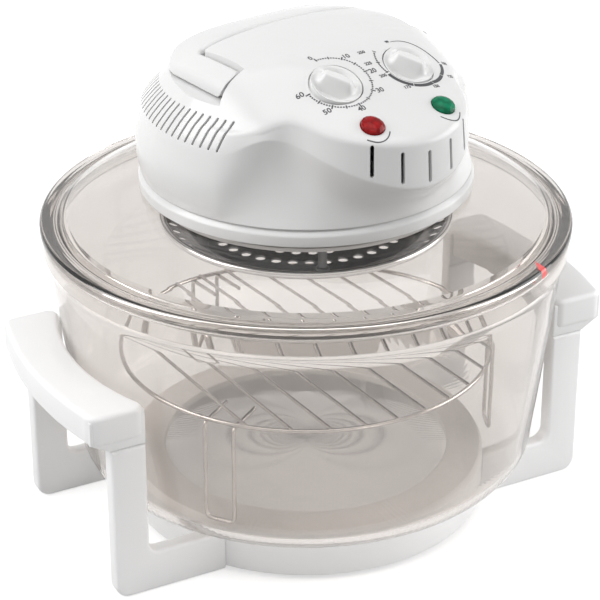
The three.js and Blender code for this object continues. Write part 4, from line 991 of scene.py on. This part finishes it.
def tick(radius, length, width, degrees):
    """A short bar that points to a dial's middle."""
    x, y = ring_spot(1, degrees)
    low, high = radius - length / 2, radius + length / 2
    return flat_bar([(x * r + side * y * width / 2, y * r - side * x * width / 2)
                     for r, side in ((low, 1), (low, -1), (high, -1), (high, 1))])


def numeral(text, across, up, size):
    """A number in Blender's own plain letters, drawn a little bolder."""
    curve = bpy.data.curves.new("numeral", "FONT")
    curve.body, curve.size = text, size * MM
    curve.align_x, curve.align_y = "CENTER", "CENTER"
    curve.extrude = PRINT_THICK / 2 * MM
    curve.offset = 0.09 * MM
    curve.resolution_u = 3
    return moved(as_mesh(curve), shift(across, up, PRINT_THICK / 2))


# Each number with its place from its dial's middle, across and up.
MINUTES = ((0, -0.9, 25.2), (10, 19.6, 18.2), (20, 27.4, 1.8), (30, 22, -13.4), (40, 2.8, -22.2),
           (50, -15.8, -15), (60, -22.4, 3))
DEGREES = ((100, 31, 0.6), (125, 25, -12.2), (150, 6.3, -20.4), (175, -13, -16.6),
           (200, -21.8, -3.8), (225, -24.4, 8), (250, -22.2, 18))
# The thermostat's heavy line and its dotted one, as turning points of angle and radius.
HEAVY_LINE = ((91.5, 25.9), (122.5, 21), (160, 17.9), (206, 17.7), (259, 17.7))
DOTTED_LINE = ((264, 17.7), (291, 19.3), (318.7, 21.5))
# The arc under each lens: its start, the corner that it bends towards, and its end.
LENS_ARCS = (("red_lens_arc", (-8.6, -7.1), (-0.7, -17), (6.9, -7.5)),
             ("green_lens_arc", (-7.6, -7.4), (0.4, -18), (7.8, -7.1)))


def make_timer_print(surface):
    first, step = -4.5, 4.54
    ticks = [tick(20.3, 0.95, 1.0, first + m * step) for m in range(61)]
    ticks += [tick(20.8, 3.0, 0.8, first + m * step) for m in range(0, 61, 10)]
    ticks += [tick(20.3, 2.6, 0.6, first + m * step) for m in range(5, 60, 10)]
    parts = [moved(part, shift(2.3, 1.6, 0)) for part in ticks]
    parts += [numeral(str(m), across, up, 5.0) for m, across, up in MINUTES]
    place_print("timer_print", parts, surface, DIALS[0])


def make_thermostat_print(surface):
    """A block, a growing line, a heavy line, a dotted line and the numbers."""
    parts = [tick(22.1, 1.9, 2.4, 0)]
    parts += arc_band((21.2, 23.6), (0.4, 0.7), 5, 47) + arc_band((23.6, 25.8), (0.7, 1.2), 47, 90)
    gap, lift, width = 0.8, 0.2, 2.3
    for (start, first), (end, last) in zip(HEAVY_LINE, HEAVY_LINE[1:]):
        parts += arc_band((first + lift, last + lift), (width, width), start + gap, end - gap)
    for (start, first), (end, last) in zip(DOTTED_LINE, DOTTED_LINE[1:]):
        for i in range(6):
            parts.append(tick(lerp(first, last, i / 6), 0.9, 1.2, lerp(start, end, i / 6)))
    parts += [tick(radius, 2.4, 0.6, degrees) for degrees, radius in DOTTED_LINE]
    parts += [numeral(str(d), across, up, 3.3) for d, across, up in DEGREES]
    place_print("thermostat_print", parts, surface, DIALS[1])


def make_lens_arcs(surface):
    steps, half = 12, 0.35
    for (name, *ends), place in zip(LENS_ARCS, LENSES):
        line = [Vector((*turn_between(*ends, i / steps), 0)) for i in range(steps + 1)]
        parts = []
        for here, ahead in zip(line, line[1:]):
            side = (ahead - here).normalized().cross(Vector((0, 0, 1))) * half
            corners = (here + side, here - side, ahead - side, ahead + side)
            parts.append(flat_bar([p[:2] for p in corners]))
        place_print(name, parts, surface, place)


def place_print(name, parts, surface, place):
    bm = laid_on(gathered(parts), surface, place)
    piece(name, moved(bm, HEAD_TURN), "lid", "black_plastic", DIAL_INK, sharp=40)


# ---------------------------------------------------------------- heater under the lid

# The guard's rows of holes, as radius and count.
GUARD_ROWS = ((20.5, 13), (34.6, 22), (48.9, 31), (62.4, 39), (83.1, 52))
POSTS = 3


def make_guard():
    """A shallow perforated dish with a rolled rim, on three posts."""
    profile = [(0, 189), (75, 189, 3), (89.6, 194.4, 0.6), (90.5, 195.2, 0.5), (90.1, 196.1, 0.4),
               (88.4, 195.4, 0.6), (74.6, 190.2, 3), (0, 190.2)]
    holes = []
    for radius, count in GUARD_ROWS:
        for i in range(count):
            a = FULL_TURN * (i + 0.5) / count
            spot = shift(radius * math.cos(a), radius * math.sin(a), 0)
            holes.append(moved(drum(3.2, 180, 205, 16), spot))
    bm = combined(lathe(rounded(profile, 4), RING_STEPS, closed=False), gathered(holes))
    # The dish's steel is darkened in colour: painted shade.
    piece("perforated_guard", moved(bm, HEAD_TURN), "lid", "chrome", PAINTED_SHADE_STEEL,
          replaces=["guard_dish"], sharp=30)
    bead = wires([circle(88.6, 194.2)], 2.3, closed=True)
    piece("guard_bead", bead, "lid", "chrome", BEAD_STEEL, sharp=60)
    post = [(0, 195.6), (4.2, 195.6), (4.2, 196.4, 0.4), (2.6, 197.0), (2.6, 207.6),
            (3.4, 208.2), (3.4, 208.6), (0, 208.6)]
    for i in range(POSTS):
        stay = lathe(rounded(post, 3), 28, closed=False)
        spot = HEAD_TURN @ turn_by(360 / POSTS * i) @ shift(83.5, 0, 0)
        piece(f"guard_stay_{i + 1}", moved(stay, spot), "lid", "dark_metal",
              replaces=[f"guard_post_{i + 1}"])


def bolt_holes(radius, low, high):
    """Tools for the three bolts through the reflector plate and the clamp band."""
    return [moved(drum(radius, low, high, 20), turn_by(angle) @ shift(81, 0, 0))
            for angle in (30, 150, 270)]


def make_reflector():
    profile = [(4.2, 206.8), (74, 206.8, 2), (80.4, 208.9, 1), (88.7, 208.9, 0.3),
               (88.7, 210.1, 0.3), (79.2, 210.1, 1), (72.8, 208, 2), (4.2, 208)]
    leads = [moved(drum(4.9, 200, 215, 24), shift(x, 62.4, 0)) for x in (-14, 14)]
    holes = gathered([*bolt_holes(3.3, 200, 215), *leads])
    bm = combined(lathe(rounded(profile, 4), SHEET_STEPS), holes)
    # The plate takes the same darkened steel: painted shade.
    piece("reflector_plate", moved(bm, HEAD_TURN), "lid", "steel", PAINTED_SHADE_STEEL,
          replaces=["reflector"])


def make_lamp_ring():
    """A ring of tube, both its ends bent up through the reflector."""
    radius, ring_z, steps = 64, 203.2, 96
    gap = math.asin(14 / 67) * 1.35
    turns = [math.pi / 2 - gap - (FULL_TURN - 2 * gap) * i / steps for i in range(steps + 1)]
    ring = [(radius * math.cos(a), radius * math.sin(a), ring_z) for a in turns]
    lead = [(14, 62.4, 212.3), (14, 62.4, 206.4), (15, 62.2, 203.8)]
    path = [*lead, *ring, *((-x, y, z) for x, y, z in reversed(lead))]
    piece("lamp_ring", moved(wires([path], 3.2, resolution=6), HEAD_TURN), "lid", "lamp_glass",
          replaces=["halogen_lamp"], sharp=60)


def make_clamp():
    clamp = [(78, 210.4, 0.4), (95, 210.4, 0.4), (95, 212.8, 0.4), (78, 212.8, 0.4)]
    bm = combined(lathe(rounded(clamp, 3), SHEET_STEPS), gathered(bolt_holes(1.9, 205, 218)))
    piece("clamp_band", moved(bm, HEAD_TURN), "lid", "steel", replaces=["clamp_ring"])
    lip = [(84.3, 212.95), (93.8, 212.95, 0.4), (93.8, 213.1, 0.1), (88.5, 213.9, 0.6),
           (85.7, 214.0), (85.7, 218.7, 0.4), (84.3, 218.7, 0.4)]
    piece("seal_lip", lathe(rounded(lip, 3), SHEET_STEPS), "lid", "silicone", replaces=["seal"])


# ---------------------------------------------------------------- everything in place

make_bowl()
make_lid_glass()
make_rim_mark()
make_rack()
make_stand()
head_surface = make_head_shell()
make_head_ring()
make_handle()
make_knob("timer_dial_knob", "timer_knob", DIALS[0], "timer_dial")
make_knob("thermostat_dial_knob", "thermostat_knob", DIALS[1], "thermostat_dial")
make_lens("red_lamp_lens", "red_lens", LENSES[0])
make_lens("green_lamp_lens", "green_lens", LENSES[1])
make_timer_print(head_surface)
make_thermostat_print(head_surface)
make_lens_arcs(head_surface)
make_guard()
make_reflector()
make_lamp_ring()
make_clamp()


# ---------------------------------------------------------------- studio

def bare_view(tree):
    """1 for what is seen straight, mirrored or through glass, 0 for light off a dull surface."""
    path = add(tree, "LightPath")
    return calc(tree, "SUBTRACT", 1.0, path.outputs["Is Diffuse Ray"])


def make_floor():
    """A dull floor whose own glow makes it white beyond the bowl and in the distance; the glow is
    lower under the bowl, a painted shadow under the oven.
    """
    made, tree, shader = material("Pale floor")
    fill(tree, shader, {"Base Color": (0.52, 0.52, 0.52, 1), "Roughness": 1.0,
                        "Specular IOR Level": 0.0, "Emission Color": (1, 1, 1, 1)})
    place = add(tree, "TexCoord").outputs["Object"]
    reach = add(tree, "VectorMath", {0: place}, operation="LENGTH").outputs["Value"]
    # Lower glow under the bowl than beyond it: painted shadow under the oven.
    near = ranged(tree, reach, 0.36, 0.64, 0.09, 0.13)
    far = ranged(tree, reach, 0.0, 0.5, 0.4, 1.8)
    glow = calc(tree, "MULTIPLY", bare_view(tree), calc(tree, "ADD", near, far))
    fill(tree, shader, {"Emission Strength": glow})
    bm = bmesh.new()
    bmesh.ops.create_grid(bm, x_segments=8, y_segments=8, size=6.0)
    mesh = mesh_of(bm, "floor")
    mesh.materials.append(made)
    floor = placed("floor", mesh)
    floor.location.z = -0.0002


def make_world():
    """A white room that is dim as a light and bright to look at."""
    world = bpy.data.worlds.new("studio")
    bpy.context.scene.world = world
    world.use_nodes = True
    tree = world.node_tree
    strength = ranged(tree, bare_view(tree), 0.27, 1.0)
    fill(tree, tree.nodes["Background"], {"Color": (1, 1, 1, 1), "Strength": strength})


def make_lamp(name, place, size, power, target=(0, 0, 0.15), spread=180):
    light = bpy.data.lights.new(name, "AREA")
    light.spread = math.radians(spread)
    light.shape, light.energy = "RECTANGLE", power
    light.size, light.size_y = size
    obj = placed(name, light)
    obj.location = place
    aim = Vector(place) - Vector(target)
    obj.rotation_euler = aim.to_track_quat("Z", "Y").to_euler()


def make_camera():
    camera = bpy.data.cameras.new("camera")
    camera.sensor_fit, camera.sensor_width, camera.lens = "HORIZONTAL", 36.0, 128.566
    camera.shift_x, camera.shift_y = -0.0100, -0.0778
    camera.clip_end = 50
    obj = placed("camera", camera)
    obj.location = (-0.5625, -1.0734, 0.7511)
    back = Vector((-0.41797, -0.79758, 0.43494))
    obj.rotation_euler = back.to_track_quat("Z", "Y").to_euler()
    bpy.context.scene.camera = obj


make_floor()
make_world()
make_lamp("top lamp", (-0.1, -0.25, 1.6), (1.6, 1.6), 11.5)
make_lamp("left lamp", (-1.4, 0.4, 1.1), (1.2, 1.2), 20)
make_lamp("right lamp", (1.5, -0.6, 0.65), (1.2, 1.2), 17)
make_lamp("low lamp", (0.1, -0.6, 0.15), (0.7, 0.12), 0.09, (0.03, 0, -0.03), 40)
make_camera()
bpy.context.scene.view_settings.view_transform = "Standard"
